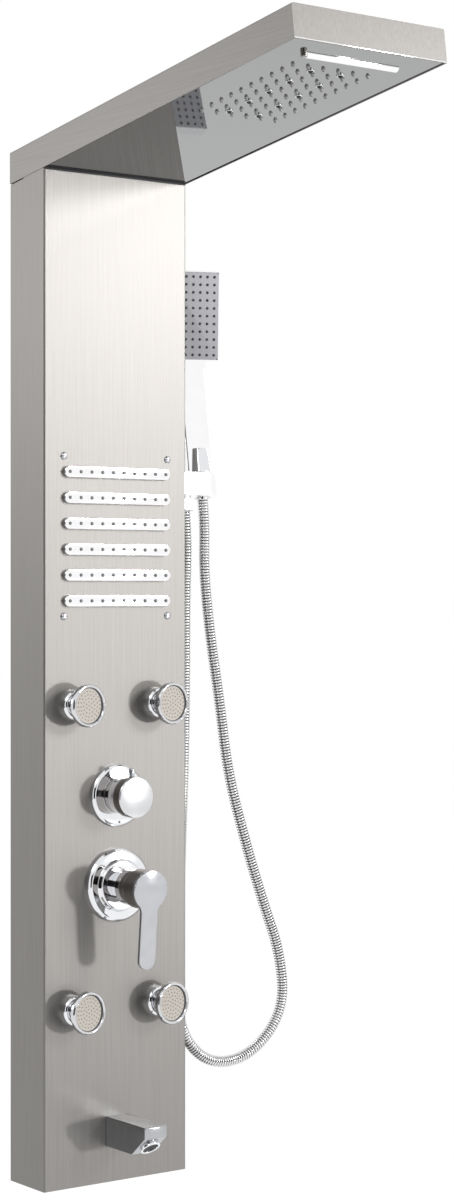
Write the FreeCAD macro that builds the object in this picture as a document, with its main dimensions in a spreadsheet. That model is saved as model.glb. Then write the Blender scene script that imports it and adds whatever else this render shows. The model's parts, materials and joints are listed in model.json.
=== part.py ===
import FreeCAD, Part
import math
import os
import re

import Sketcher
from FreeCAD import Placement, Rotation, Vector

# Wall-hung shower panel column. Millimetres, +Z up, X across, the front faces -Y.
# The wall is the plane Y = 0 and the origin is the middle of the column's lower back edge.
# "q" below is a distance out from the column's front face.

doc = FreeCAD.newDocument("shower_panel_column")
sheet = doc.addObject("Spreadsheet::Sheet", "sizes")

driving_sizes = {
    # folded sheet column
    "column_width": 200, "column_depth": 74, "column_height": 1180, "sheet_steel": 1.5,
    "wall_return": 18, "foot_flange": 18, "fold_radius": 2, "fit_gap": 0.1,
    # overhead head, measured along its own slope
    "head_overhang": 1, "head_length": 550, "head_thickness": 37, "head_tilt": 7.7, "head_gap": 1,
    "tray_recess": 1, "tray_flange": 12, "tray_back": 6, "riser_window_width": 188,
    "riser_window_back": 14, "riser_window_front": 78,
    "rain_columns": 6, "rain_rows": 10, "rain_pitch_across": 20, "rain_pitch_along": 18,
    "rain_front_inset": 69, "rain_nozzle_radius": 2.2, "rain_nozzle_length": 3,
    "power_collar_radius": 4.2, "power_collar_length": 1.6, "power_tip_radius": 2.6,
    "lip_length": 125, "lip_depth": 8, "lip_drop": 6, "lip_inset": 36,
    "lip_slot_length": 117, "lip_slot_depth": 3,
    "chamber_margin": 8, "rain_chamber_height": 16, "fall_chamber_depth": 20,
    "fall_chamber_height": 20,
    # head bracket
    "bracket_plate": 3, "bracket_leg": 62, "bracket_reach": 38, "bracket_ear_width": 20,
    "bracket_stud_radius": 3, "bracket_nut_radius": 5.8, "bracket_nut_height": 5,
    "bracket_stud_spacing": 120, "bracket_stud_drop": 40, "ear_stud_back": 18,
    # wall hanging
    "hanger_width": 140, "hanger_plate": 2, "hanger_strip": 30, "hanger_hook_rise": 12,
    "hanger_stand": 9, "hanger_gap": 0.3, "hanger_top_drop": 100, "hanger_low_height": 112,
    "rail_plate": 2, "rail_skirt": 36, "wall_screw_radius": 3, "wall_screw_spacing": 90,
    # spray strips and their manifold
    "strip_length": 149, "strip_height": 13.5, "strip_rise": 5, "strip_pitch": 30,
    "strip_count": 6, "strips_centre": 756.5, "strip_rib_length": 120, "strip_rib_height": 6,
    "strip_nozzle_count": 10, "strip_nozzle_pitch": 15, "strip_nozzle_radius": 1.7,
    "strip_nozzle_length": 1.6, "manifold_plate": 3, "manifold_margin": 8,
    "manifold_chamber_width": 136, "manifold_chamber_height": 168, "manifold_chamber_depth": 12,
    "screw_spacing_across": 146, "screw_spacing_up": 186, "screw_head_radius": 4.3,
    "screw_head_rise": 2.6, "screw_shank_radius": 2.4, "screw_length": 8,
    # body jets
    "jet_spacing": 118, "jet_upper_height": 560.5, "jet_lower_height": 206,
    "jet_ring_radius": 18, "jet_ring_rise": 8, "jet_tail_radius": 15, "jet_tail_length": 20,
    "jet_bore_radius": 8, "jet_ball_offset": 5, "jet_ball_radius": 12.2, "ball_gap": 0.3,
    "jet_head_radius": 25, "jet_head_front": 24.5, "jet_rim_depth": 8, "jet_rim_wall": 3,
    "jet_skirt_front": 8.8, "jet_skirt_radius": 11.5, "jet_face_recess": 2.5,
    "jet_face_thickness": 3, "jet_water_radius": 4.5, "jet_rest_pan": 9,
    "jet_nut_radius": 21, "lock_nut_height": 7,
    # function knob
    "knob_height": 453, "knob_plate_radius": 36.5, "knob_plate_rise": 6.3,
    "knob_skirt_radius": 21, "knob_skirt_end": 28, "knob_skirt_end_radius": 23.5,
    "knob_radius": 24, "knob_front": 42.5, "knob_gap": 0.6, "knob_peg_radius": 2.6,
    "knob_peg_rise": 9, "knob_peg_offset": 32, "knob_stem_radius": 5, "knob_stem_depth": 30,
    "knob_socket_end": 36, "knob_boss_radius": 14, "knob_boss_front": 5,
    "diverter_width": 56, "diverter_height": 40, "diverter_depth": 40, "diverter_front": 8,
    # single lever mixer
    "mixer_height": 348, "mixer_plate_radius": 43, "mixer_plate_rise": 8,
    "mixer_ring_radius": 29, "mixer_ring_rise": 13, "mixer_neck_radius": 16.5,
    "mixer_neck_front": 27, "collar_radius": 21, "collar_front": 46.2, "collar_bore": 15,
    "cartridge_radius": 14, "cartridge_back": 30, "stem_radius": 8, "stem_front": 41,
    "stem_back": 10, "stem_slot_floor": 29, "lever_pivot": 35, "spindle_radius": 4,
    "spindle_back": 31.4, "spindle_front": 62, "spindle_pin_radius": 1.5,
    "lever_cap_radius": 23, "lever_cap_wall": 1.4, "lever_cap_gap": 0.6,
    "lever_cavity_front": 57, "lever_front": 72, "lever_slope": 5, "lever_reach": 93,
    "lever_blade_width": 22, "lever_blade_thickness": 5,
    "mixer_width": 90, "mixer_block_height": 36, "mixer_depth": 34, "mixer_front": 14,
    "inlet_radius": 10.48, "inlet_length": 14, "inlet_spacing": 60, "valve_link_radius": 8,
    # spout
    "spout_top": 77.5, "spout_width": 30, "spout_drop": 35, "spout_reach": 82,
    "spout_nose": 12.7, "spout_belly": 55, "spout_tail_radius": 10, "spout_tail_length": 24,
    "spout_bore": 6, "aerator_radius": 11, "aerator_depth": 8, "aerator_wall": 2.2,
    "lock_nut_radius": 16, "elbow_wall": 2, "spout_elbow_depth": 34,
    # side holder, leaned back with the hand shower
    "holder_arm": 49.5, "holder_back": 37, "holder_height": 821, "holder_lean": 8.7,
    "holder_radius": 18.2, "holder_thickness": 29.5, "holder_edge": 1.6,
    "spigot_radius": 10, "spigot_length": 21.5,
    "outlet_offset": 29, "outlet_radius": 9.5, "outlet_length": 11, "outlet_bore": 4,
    "hose_nut_radius": 13, "hose_nut_start": 18.5, "hose_nut_end": 31,
    # hand shower and its hose
    "cone_top": 15.3, "cone_bottom": 16, "cone_top_radius": 12, "cone_bottom_radius": 9,
    "socket_gap": 0.3, "cone_spigot_radius": 8, "cone_spigot_length": 12,
    "hand_twist": 10.5, "ferrule_start": 15.6, "ferrule_end": 46, "ferrule_radius": 14,
    "ferrule_end_radius": 11, "handle_width": 35, "handle_thickness": 10, "handle_edge": 2.5,
    "handle_shoulder": 146, "plate_width": 72, "plate_length": 111, "plate_thickness": 12,
    "plate_bend": 13.4, "plate_up": 209, "plate_forward": 20, "plate_corner": 6,
    "face_border": 2, "face_sheet": 2.4,
    "spray_columns": 7, "spray_rows": 11, "spray_pitch": 9.55, "spray_nozzle_radius": 1.6,
    "spray_nozzle_length": 1.2,
    "hose_radius": 7, "hose_bore": 4, "rib_groove": 0.7, "rib_count": 44,
    # pipes inside the column
    "pipe_radius": 6, "pipe_row": 38, "pipe_spacing": 18, "pipe_bend": 16,
    "fall_pipe_side": 66, "fall_pipe_shift": 960, "head_pipe_rise": 12, "jet_pipe_back": 28,
    "spout_pipe_back": 54, "spout_pipe_side": 18, "spout_pipe_radius": 5,
    "spout_pipe_run": 30, "spout_pipe_shift": 51,
}

for row, (name, number) in enumerate(driving_sizes.items(), 1):
    sheet.set("A%d" % row, name)
    sheet.set("B%d" % row, str(number))
    sheet.setAlias("B%d" % row, name)
doc.recompute()

parts = []


# ---- helpers -----------------------------------------------------------------------------

def bound(formula):
    """The formula with every size read from the sheet, as other objects refer to it."""
    return re.sub(r"\b([a-z]+_\w+)\b", r"sizes.\1", formula)


def size(formula):
    """The number that a formula of named sizes gives."""
    return float(sheet.evalExpression(formula))


def new_body(label, place=Placement()):
    body = doc.addObject("PartDesign::Body", label)
    body.Label = label
    body.Placement = place
    return body


def origin_feature(body, role):
    return [item for item in body.Origin.OriginFeatures if item.Role == role][0]


def new_sketch(body, name, plane, offset="0"):
    """A sketch on one of the body's own planes, moved along that plane's normal."""
    sketch = body.newObject("Sketcher::SketchObject", name)
    sketch.AttachmentSupport = (origin_feature(body, plane), "")
    sketch.MapMode = "FlatFace"
    sketch.setExpression("AttachmentOffset.Base.z", bound(offset))
    return sketch


def fix_point(sketch, geometry, point, formulas, start):
    """Ties a point of the sketch to its origin by two formulas."""
    for kind, axis, formula, number in (("DistanceX", -2, formulas[0], start.x),
                                        ("DistanceY", -1, formulas[1], start.y)):
        if formula == "0":
            sketch.addConstraint(Sketcher.Constraint("PointOnObject", geometry, point, axis))
            continue
        index = sketch.addConstraint(Sketcher.Constraint(kind, -1, 1, geometry, point, number))
        sketch.setExpression("Constraints[%d]" % index, bound(formula))


def outline(body, name, plane, corners, offset="0"):
    """A closed polygon whose corners are pairs of formulas."""
    sketch = new_sketch(body, name, plane, offset)
    points = [Vector(size(across), size(up), 0) for across, up in corners]
    count = len(points)
    for index, point in enumerate(points):
        sketch.addGeometry(Part.LineSegment(point, points[(index + 1) % count]))
    for index in range(count):
        sketch.addConstraint(Sketcher.Constraint("Coincident", index, 2, (index + 1) % count, 1))
    for index, corner in enumerate(corners):
        fix_point(sketch, index, 1, corner, points[index])
    return sketch


def rectangle(body, name, plane, left, right, low, high, offset="0"):
    corners = [(left, low), (right, low), (right, high), (left, high)]
    return outline(body, name, plane, corners, offset)


def circles(body, name, plane, centres, radius, offset="0"):
    """Equal circles in one sketch."""
    sketch = new_sketch(body, name, plane, offset)
    for index, centre in enumerate(centres):
        middle = Vector(size(centre[0]), size(centre[1]), 0)
        sketch.addGeometry(Part.Circle(middle, Vector(0, 0, 1), size(radius)))
        fix_point(sketch, index, 3, centre, middle)
        ring = sketch.addConstraint(Sketcher.Constraint("Radius", index, size(radius)))
        sketch.setExpression("Constraints[%d]" % ring, bound(radius))
    return sketch


def hexagon(body, name, plane, radius, offset="0"):
    corners = [("%s * %.4f" % (radius, math.cos(math.radians(turn))),
                "%s * %.4f" % (radius, math.sin(math.radians(turn)))) for turn in range(15, 375, 60)]
    return outline(body, name, plane, corners, offset)


def feature(body, kind, sketch, name, length, sides="One side", reverse=False):
    """A pad or a pocket of a sketch."""
    made = body.newObject("PartDesign::" + kind, name)
    made.Profile = sketch
    made.SideType = sides
    made.Reversed = reverse
    made.setExpression("Length", bound(length))
    body.Tip = made
    return made


def cut_feature(body, sketch, name, length, sides="One side", reverse=False):
    """A pocket that is checked to have taken something away."""
    doc.recompute()
    before = body.Shape.Volume
    made = feature(body, "Pocket", sketch, name, length, sides, reverse)
    doc.recompute()
    if not body.Shape.Volume < before - 0.01:
        raise RuntimeError("%s of %s cuts nothing" % (name, body.Label))
    return made


def repeat(body, made, name, steps):
    """A row or a grid of one feature: one or two of (axis role, reverse, pitch, count)."""
    pattern = body.newObject("PartDesign::LinearPattern", name)
    pattern.Originals = [made]
    for suffix, (role, reverse, pitch, count) in zip(("", "2"), steps):
        setattr(pattern, "Direction" + suffix, (origin_feature(body, role), [""]))
        setattr(pattern, "Reversed" + suffix, reverse)
        setattr(pattern, "Mode" + suffix, "Spacing")
        pattern.setExpression("Offset" + suffix, bound(pitch))
        pattern.setExpression("Occurrences" + suffix, bound(count))
    body.Tip = pattern
    return pattern


def dress(body, kind, amount, chosen):
    """Fillets or chamfers the edges of the body's last feature that the test picks."""
    doc.recompute()
    base = body.Tip
    names = ["Edge%d" % (index + 1) for index, edge in enumerate(base.Shape.Edges) if chosen(edge)]
    made = body.newObject("PartDesign::" + kind, kind.lower())
    made.Base = (base, names)
    made.setExpression("Radius" if kind == "Fillet" else "Size", bound(amount))
    body.Tip = made
    return made


def turned(label, corners, place):
    """A body turned about its own Z axis; the corners are (radius, height) formulas."""
    body = new_body(label, place)
    profile = outline(body, "profile", "XZ_Plane", corners)
    spin = body.newObject("PartDesign::Revolution", "spin")
    spin.Profile = profile
    spin.ReferenceAxis = (profile, ["V_Axis"])
    spin.Angle = 360
    body.Tip = spin
    return body


def box(name, spans, place=Placement()):
    """A block between pairs of formulas for X, Y and Z."""
    block = doc.addObject("Part::Box", name)
    for side, (low, high) in zip(("Length", "Width", "Height"), spans):
        block.setExpression(side, bound("(%s) - (%s)" % (high, low)))
    corner = Vector(*[size(low) for low, high in spans])
    block.Placement = place.multiply(Placement(corner, Rotation()))
    return block


def rod(name, radius, low, high, place=Placement(), centre=("0", "0")):
    """A cylinder about the Z axis of its place."""
    cylinder = doc.addObject("Part::Cylinder", name)
    cylinder.setExpression("Radius", bound(radius))
    cylinder.setExpression("Height", bound("(%s) - (%s)" % (high, low)))
    foot = Vector(size(centre[0]), size(centre[1]), size(low))
    cylinder.Placement = place.multiply(Placement(foot, Rotation()))
    return cylinder


def cone(name, low_radius, high_radius, low, high, place=Placement()):
    frustum = doc.addObject("Part::Cone", name)
    frustum.setExpression("Radius1", bound(low_radius))
    frustum.setExpression("Radius2", bound(high_radius))
    frustum.setExpression("Height", bound("(%s) - (%s)" % (high, low)))
    frustum.Placement = place.multiply(Placement(Vector(0, 0, size(low)), Rotation()))
    return frustum


def nut(name, radius, bore, low, high, place):
    """A hexagon nut about the Z axis of its place."""
    blank = doc.addObject("Part::Prism", name + "_blank")
    blank.Polygon = 6
    blank.setExpression("Circumradius", bound(radius))
    blank.setExpression("Height", bound("(%s) - (%s)" % (high, low)))
    blank.Placement = place.multiply(Placement(Vector(0, 0, size(low)), Rotation()))
    return minus(name, blank, rod(name + "_bore", bore, low, high, place))


def minus(name, base, *tools):
    """The base with every tool cut out of it."""
    for index, tool in enumerate(tools):
        last = index == len(tools) - 1
        result = doc.addObject("Part::Cut", name if last else "%s_cut%d" % (name, index))
        result.Base = base
        result.Tool = tool
        base = result
    return base


def plus(name, *pieces):
    joined = doc.addObject("Part::MultiFuse", name)
    joined.Shapes = list(pieces)
    return joined


def group(name, pieces):
    gathered = doc.addObject("Part::Compound", name)
    gathered.Links = pieces
    return gathered


def keep(node):
    """Marks an object as one sub-part of the product."""
    parts.append(node)
    return node


def on_face(across, height, out="0"):
    """A place on the column's front whose Z points out and whose Y points up."""
    spot = Vector(size(across), -size("column_depth + " + out), size(height))
    return Placement(spot, Rotation(Vector(1, 0, 0), 90))


def rounded_path(points, bend=None):
    """Straight runs joined by tangent arcs, with the arc radii.

    Without a bend each arc is as large as its two runs allow.
    """
    starts = [points[0]]
    edges = []
    radii = []
    for before, corner, after in zip(points, points[1:], points[2:]):
        back = before - corner
        ahead = after - corner
        half = (math.pi - back.getAngle(ahead)) / 2
        reach = 0.45 * min(back.Length, ahead.Length)
        if bend is not None:
            reach = bend * math.tan(half)
        radii.append(reach / math.tan(half))
        enter = corner + back.normalize() * reach
        leave = corner + ahead.normalize() * reach
        inward = (back + ahead).normalize()
        middle = corner + inward * (radii[-1] * (1 / math.cos(half) - 1))
        edges.append(Part.LineSegment(starts[-1], enter).toShape())
        edges.append(Part.Arc(enter, middle, leave).toShape())
        starts.append(leave)
    edges.append(Part.LineSegment(starts[-1], points[-1]).toShape())
    return Part.Wire(edges), radii


def tube_along(path, radius):
    """A round solid swept along a smooth wire."""
    first = path.Edges[0]
    start = first.valueAt(first.FirstParameter)
    ring = Part.Wire(Part.Circle(start, first.tangentAt(first.FirstParameter), radius).toShape())
    solid = path.makePipeShell([ring], True, False)
    expected = math.pi * radius * radius * path.Length
    if abs(solid.Volume / expected - 1) > 0.02:
        raise RuntimeError("a pipe of radius %g has lost its section" % radius)
    return solid


def pipe(label, points, radius, extra=()):
    """A bent pipe with the blocks or stubs that belong to it."""
    path, radii = rounded_path([Vector(*point) for point in points], size("pipe_bend"))
    solid = tube_along(path, size(radius))
    for piece in extra:
        solid = solid.fuse(piece)
    made = doc.addObject("Part::Feature", label)
    made.Shape = solid.removeSplitter()
    return keep(made)


def edge_along(edge, axis):
    """True for a straight edge that runs along the axis."""
    if edge.Curve.TypeId != "Part::GeomLine":
        return False
    return abs(abs(edge.tangentAt(edge.FirstParameter).dot(axis)) - 1) < 1e-6


def middle_of(edge):
    return edge.BoundBox.Center


# ---- folded column -----------------------------------------------------------------------

inner_depth = "(column_depth - sheet_steel)"


def make_column_cover():
    """Folded sheet, open to the wall between its returns, closed and flanged at the foot."""
    body = new_body("column_cover")
    side = outline(body, "side", "YZ_Plane", [
        ("0", "0"), ("-column_depth", "0"), ("-column_depth", "column_height"),
        ("0", "column_height - column_depth * tan(head_tilt)")])
    feature(body, "Pad", side, "folded_block", "column_width", "Symmetric")
    front = -size("column_depth")
    dress(body, "Fillet", "fold_radius",
          lambda edge: edge_along(edge, Vector(0, 0, 1)) and abs(middle_of(edge).y - front) < 0.01)
    inner = "column_width / 2 - sheet_steel"
    well = rectangle(body, "well", "XY_Plane", "-(%s)" % inner, inner, "-" + inner_depth,
                     "-sheet_steel", "sheet_steel")
    cut_feature(body, well, "hollow", "column_height", reverse=True)
    mouth = "column_width / 2 - wall_return"
    back = rectangle(body, "back", "XZ_Plane", "-(%s)" % mouth, mouth, "foot_flange",
                     "column_height")
    cut_feature(body, back, "back_opening", "sheet_steel", reverse=True)

    rib = rectangle(body, "rib_slot", "XZ_Plane",
                    "-(strip_rib_length / 2 + fit_gap)", "strip_rib_length / 2 + fit_gap",
                    low_strip + " - strip_rib_height / 2 - fit_gap",
                    low_strip + " + strip_rib_height / 2 + fit_gap", "column_depth")
    slot = cut_feature(body, rib, "rib_slots", "sheet_steel * 2")
    repeat(body, slot, "rib_rows", [("Z_Axis", False, "strip_pitch", "strip_count")])

    holes = (("screw_holes", screw_places, "screw_shank_radius + fit_gap"),
             ("jet_holes", jet_places, "jet_tail_radius + fit_gap"),
             ("knob_hole", [("0", "knob_height")], "knob_boss_radius + fit_gap"),
             ("mixer_hole", [("0", "mixer_height")], "mixer_neck_radius + fit_gap"),
             ("spout_hole", [("0", spout_centre)], "spout_tail_radius + fit_gap"))
    for name, centres, radius in holes:
        rings = circles(body, name, "XZ_Plane", centres, radius, "column_depth")
        cut_feature(body, rings, name + "_cut", "sheet_steel * 2")
    side_hole = circles(body, "side_hole", "YZ_Plane", [("-holder_back", "holder_height")],
                        "spigot_radius + fit_gap", "column_width / 2 - sheet_steel * 2")
    cut_feature(body, side_hole, "side_hole_cut", "sheet_steel * 3", reverse=True)
    return keep(body)


low_strip = "strips_centre - strip_pitch * (strip_count - 1) / 2"
spout_centre = "spout_top - spout_drop / 2"
screw_places = [(side + "screw_spacing_across / 2", "strips_centre %s screw_spacing_up / 2" % way)
                for side in ("", "-") for way in ("+", "-")]
jet_places = [(side + "jet_spacing / 2", height)
              for height in ("jet_upper_height", "jet_lower_height") for side in ("-", "")]


# ---- overhead head -----------------------------------------------------------------------

underside_back = "(column_height + head_gap - column_depth * tan(head_tilt))"
head_place = Placement(Vector(0, 0, size(underside_back)),
                       Rotation(Vector(1, 0, 0), -size("head_tilt")))
head_half = "(column_width / 2 + head_overhang)"
tray_inner = "(%s - sheet_steel * 2 - fit_gap)" % head_half
tray_top = "(tray_recess + sheet_steel)"
last_row = "(head_length - rain_front_inset)"
first_row = "(%s - rain_pitch_along * (rain_rows - 1))" % last_row
lip_place = "(head_length - lip_inset)"


def head_point(across, along, rise):
    """A point of the head: across, along its slope from the wall, and above its underside."""
    return head_place.multVec(Vector(across, -along, rise))


def make_head_shell():
    """Folded sheet box that is open below; its back stands upright against the wall."""
    body = new_body("head_shell", head_place)
    side = outline(body, "side", "YZ_Plane", [
        ("0", "0"), ("-head_length", "0"), ("-head_length", "head_thickness"),
        ("-head_thickness * tan(head_tilt)", "head_thickness")])
    feature(body, "Pad", side, "block", head_half + " * 2", "Symmetric")
    top = size("head_thickness")
    dress(body, "Fillet", "fold_radius",
          lambda edge: edge_along(edge, Vector(0, 1, 0)) and abs(middle_of(edge).z - top) < 0.01)
    ceiling = "(head_thickness - sheet_steel)"
    back = "sheet_steel / cos(head_tilt)"
    cave = outline(body, "cave", "YZ_Plane", [
        ("-" + back, "0"), ("sheet_steel - head_length", "0"),
        ("sheet_steel - head_length", ceiling),
        ("-%s * tan(head_tilt) - %s" % (ceiling, back), ceiling)])
    cut_feature(body, cave, "inside", "(%s - sheet_steel) * 2" % head_half, "Symmetric")
    return keep(body)


def make_head_underside():
    """Polished tray set into the head, with a window for the pipes and a slot for the fall."""
    body = new_body("head_underside", head_place)
    outer = "(%s - sheet_steel - fit_gap)" % head_half
    front = "(head_length - sheet_steel - fit_gap)"
    plan = rectangle(body, "plan", "XY_Plane", "-" + outer, outer, "-" + front, "-tray_back",
                     "tray_recess")
    feature(body, "Pad", plan, "block", "tray_flange")
    well = rectangle(body, "well", "XY_Plane", "-" + tray_inner, tray_inner,
                     "sheet_steel - " + front, "-(tray_back + sheet_steel)", tray_top)
    cut_feature(body, well, "inside", "tray_flange", reverse=True)
    window = rectangle(body, "window", "XY_Plane", "-riser_window_width / 2",
                       "riser_window_width / 2", "-riser_window_front", "-riser_window_back")
    cut_feature(body, window, "window_cut", tray_top + " * 2", "Symmetric")
    slot = rectangle(body, "slot", "XY_Plane", "-lip_slot_length / 2", "lip_slot_length / 2",
                     "-(%s + lip_slot_depth / 2)" % lip_place, "lip_slot_depth / 2 - " + lip_place)
    cut_feature(body, slot, "slot_cut", tray_top + " * 2", "Symmetric")
    return keep(body)


def grid_place(along, pitch_across, columns):
    """The first place of a grid of nozzles on the tray's lower face."""
    corner = Vector(size("-%s * (%s - 1) / 2" % (pitch_across, columns)), -size(along),
                    size("tray_recess"))
    return head_place.multiply(Placement(corner, Rotation()))


def make_rain_nozzles():
    start = grid_place(first_row, "rain_pitch_across", "rain_columns")
    body = new_body("rain_nozzles", start)
    tip = hexagon(body, "tip", "XY_Plane", "rain_nozzle_radius")
    made = feature(body, "Pad", tip, "nozzle", "rain_nozzle_length", reverse=True)
    repeat(body, made, "field", [("X_Axis", False, "rain_pitch_across", "rain_columns"),
                                 ("Y_Axis", True, "rain_pitch_along", "rain_rows")])
    return keep(body)


def make_power_nozzles():
    """Larger nozzles in the middle of every second cell of the small ones, in two lines."""
    start = grid_place(first_row + " + rain_pitch_along / 2", "rain_pitch_across * 2", "2")
    body = new_body("power_nozzles", start)
    ring = circles(body, "ring", "XY_Plane", [("0", "0")], "power_collar_radius")
    collar = feature(body, "Pad", ring, "collar", "power_collar_length", reverse=True)
    tip = hexagon(body, "tip", "XY_Plane", "power_tip_radius")
    nozzle = feature(body, "Pad", tip, "nozzle", "rain_nozzle_length", reverse=True)
    pattern = repeat(body, collar, "field",
                     [("X_Axis", False, "rain_pitch_across * 2", "2"),
                      ("Y_Axis", True, "rain_pitch_along * 2", "rain_rows / 2")])
    pattern.Originals = [collar, nozzle]
    return keep(body)


def make_waterfall():
    """The lip under the tray and the sealed chamber that feeds its slot."""
    half = "lip_length / 2"

    def along(depth):
        return "-%s - %s / 2" % (lip_place, depth), "%s / 2 - %s" % (depth, lip_place)

    drop = ("tray_recess - lip_drop", "tray_recess")
    bar = box("lip_bar", [("-" + half, half), along("lip_depth"), drop], head_place)
    slot = box("lip_slot", [("-lip_slot_length / 2", "lip_slot_length / 2"),
                            along("lip_slot_depth"), drop], head_place)
    keep(minus("waterfall_lip", bar, slot))
    keep(box("waterfall_chamber", [
        ("-" + half, "fall_pipe_side + pipe_radius + chamber_margin / 2"),
        along("fall_chamber_depth"), (tray_top, tray_top + " + fall_chamber_height")], head_place))


def make_rain_chamber():
    """Sealed water box on the tray, over the whole field of nozzles."""
    half = "rain_pitch_across * (rain_columns - 1) / 2 + chamber_margin"
    keep(box("rain_chamber", [
        ("-(%s)" % half, half),
        ("-(%s + chamber_margin)" % last_row, "chamber_margin - " + first_row),
        (tray_top, tray_top + " + rain_chamber_height")], head_place))


def make_head_bracket():
    """Bent plate: its leg lies behind the column's front and its two ears lie on the tray."""
    body = new_body("head_bracket")
    inner = "(%s - bracket_plate)" % inner_depth
    reach = "(%s + bracket_reach)" % inner_depth

    def on_slope(depth, rise):
        return "%s + %s * tan(head_tilt) + %s / cos(head_tilt)" % (underside_back, depth, rise)

    low = "(%s)" % tray_top
    high = "(%s + bracket_plate)" % tray_top
    foot = "column_height - bracket_leg"
    profile = outline(body, "bend", "YZ_Plane", [
        ("-" + inner_depth, foot), ("-" + inner_depth, on_slope(inner_depth, low)),
        ("-" + reach, on_slope(reach, low)), ("-" + reach, on_slope(reach, high)),
        ("-" + inner, on_slope(inner, high)), ("-" + inner, foot)])
    half = "(riser_window_width / 2 - fit_gap * 10)"
    feature(body, "Pad", profile, "plate", half + " * 2", "Symmetric")
    gap = "(%s - bracket_ear_width)" % half
    throat = rectangle(body, "throat", "XZ_Plane", "-" + gap, gap,
                       "column_height - bracket_leg / 3", "column_height + head_thickness")
    cut_feature(body, throat, "throat_cut", reach + " * 2", reverse=True)
    studs = circles(body, "stud_holes", "XZ_Plane",
                    [("-bracket_stud_spacing / 2", "column_height - bracket_stud_drop"),
                     ("bracket_stud_spacing / 2", "column_height - bracket_stud_drop")],
                    "bracket_stud_radius + fit_gap")
    cut_feature(body, studs, "stud_cut", "column_depth", reverse=True)
    keep(body)

    nuts = []
    ear = size(gap + " + bracket_ear_width / 2")
    along = size("(%s + bracket_reach - ear_stud_back) / cos(head_tilt)" % inner_depth)
    for side in (-1, 1):
        leg = on_face("%d * bracket_stud_spacing / 2" % side, "column_height - bracket_stud_drop")
        behind = Placement(Vector(0, 0, -size("sheet_steel")), Rotation(Vector(1, 0, 0), 180))
        leg = leg.multiply(behind)
        spot = Placement(Vector(side * ear, -along, size(tray_top)), Rotation())
        nuts.append(stud_nut("leg_nut%d" % side, leg, "0"))
        nuts.append(stud_nut("ear_nut%d" % side, head_place.multiply(spot), "bracket_plate"))
    keep(group("bracket_nuts", nuts))


def stud_nut(name, place, stand):
    """A welded stud with its nut; the stud starts on the sheet, or on the plate where it lies."""
    blank = doc.addObject("Part::Prism", name + "_hexagon")
    blank.Polygon = 6
    blank.setExpression("Circumradius", bound("bracket_nut_radius"))
    blank.setExpression("Height", bound("bracket_nut_height"))
    blank.Placement = place.multiply(Placement(Vector(0, 0, size("bracket_plate")), Rotation()))
    shank = rod(name + "_stud", "bracket_stud_radius", stand,
                "bracket_plate + bracket_nut_height * 1.4", place)
    return plus(name, blank, shank)


# ---- wall hanging ------------------------------------------------------------------------

hanger_heights = ("column_height - hanger_top_drop", "hanger_low_height")


def make_hangers():
    """Two wall strips with an upturned lip, and the column's two rails that hook over them."""
    rails = []
    strips = []
    shelf = "(hanger_strip + hanger_plate)"
    lip = "(%s + hanger_hook_rise)" % shelf
    ceiling = "(%s + hanger_gap)" % lip
    lip_back = "(hanger_stand - hanger_plate)"
    for index, height in enumerate(hanger_heights):
        place = Placement(Vector(0, 0, size(height)), Rotation())
        strip = new_body("wall_strip_%d" % (index + 1), place)
        hook = outline(strip, "hook", "YZ_Plane", [
            ("0", "0"), ("-hanger_plate", "0"), ("-hanger_plate", "hanger_strip"),
            ("-hanger_stand", "hanger_strip"), ("-hanger_stand", lip), ("-" + lip_back, lip),
            ("-" + lip_back, shelf), ("0", shelf)])
        feature(strip, "Pad", hook, "strip", "hanger_width", "Symmetric")
        screws = circles(strip, "screws", "XZ_Plane",
                         [("-wall_screw_spacing / 2", "hanger_strip / 2"),
                          ("wall_screw_spacing / 2", "hanger_strip / 2")], "wall_screw_radius")
        cut_feature(strip, screws, "screw_holes", "hanger_plate * 2", "Symmetric")
        strips.append(strip)

        rail = new_body("rail_%d" % (index + 1), place)
        face = "(hanger_stand + hanger_gap * 6)"
        tail = "(%s - hanger_gap)" % lip_back
        claw = outline(rail, "claw", "YZ_Plane", [
            ("-(%s + rail_plate)" % face, ceiling + " + rail_plate - rail_skirt"),
            ("-(%s + rail_plate)" % face, ceiling + " + rail_plate"),
            ("-(%s - rail_plate)" % tail, ceiling + " + rail_plate"),
            ("-(%s - rail_plate)" % tail, shelf + " + hanger_gap"),
            ("-" + tail, shelf + " + hanger_gap"), ("-" + tail, ceiling),
            ("-" + face, ceiling), ("-" + face, ceiling + " + rail_plate - rail_skirt")])
        feature(rail, "Pad", claw, "rail", "column_width - sheet_steel * 2", "Symmetric")
        rails.append(rail)
    keep(group("wall_brackets", strips))
    keep(group("hanger_rails", rails))


# ---- spray strips ------------------------------------------------------------------------

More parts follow.
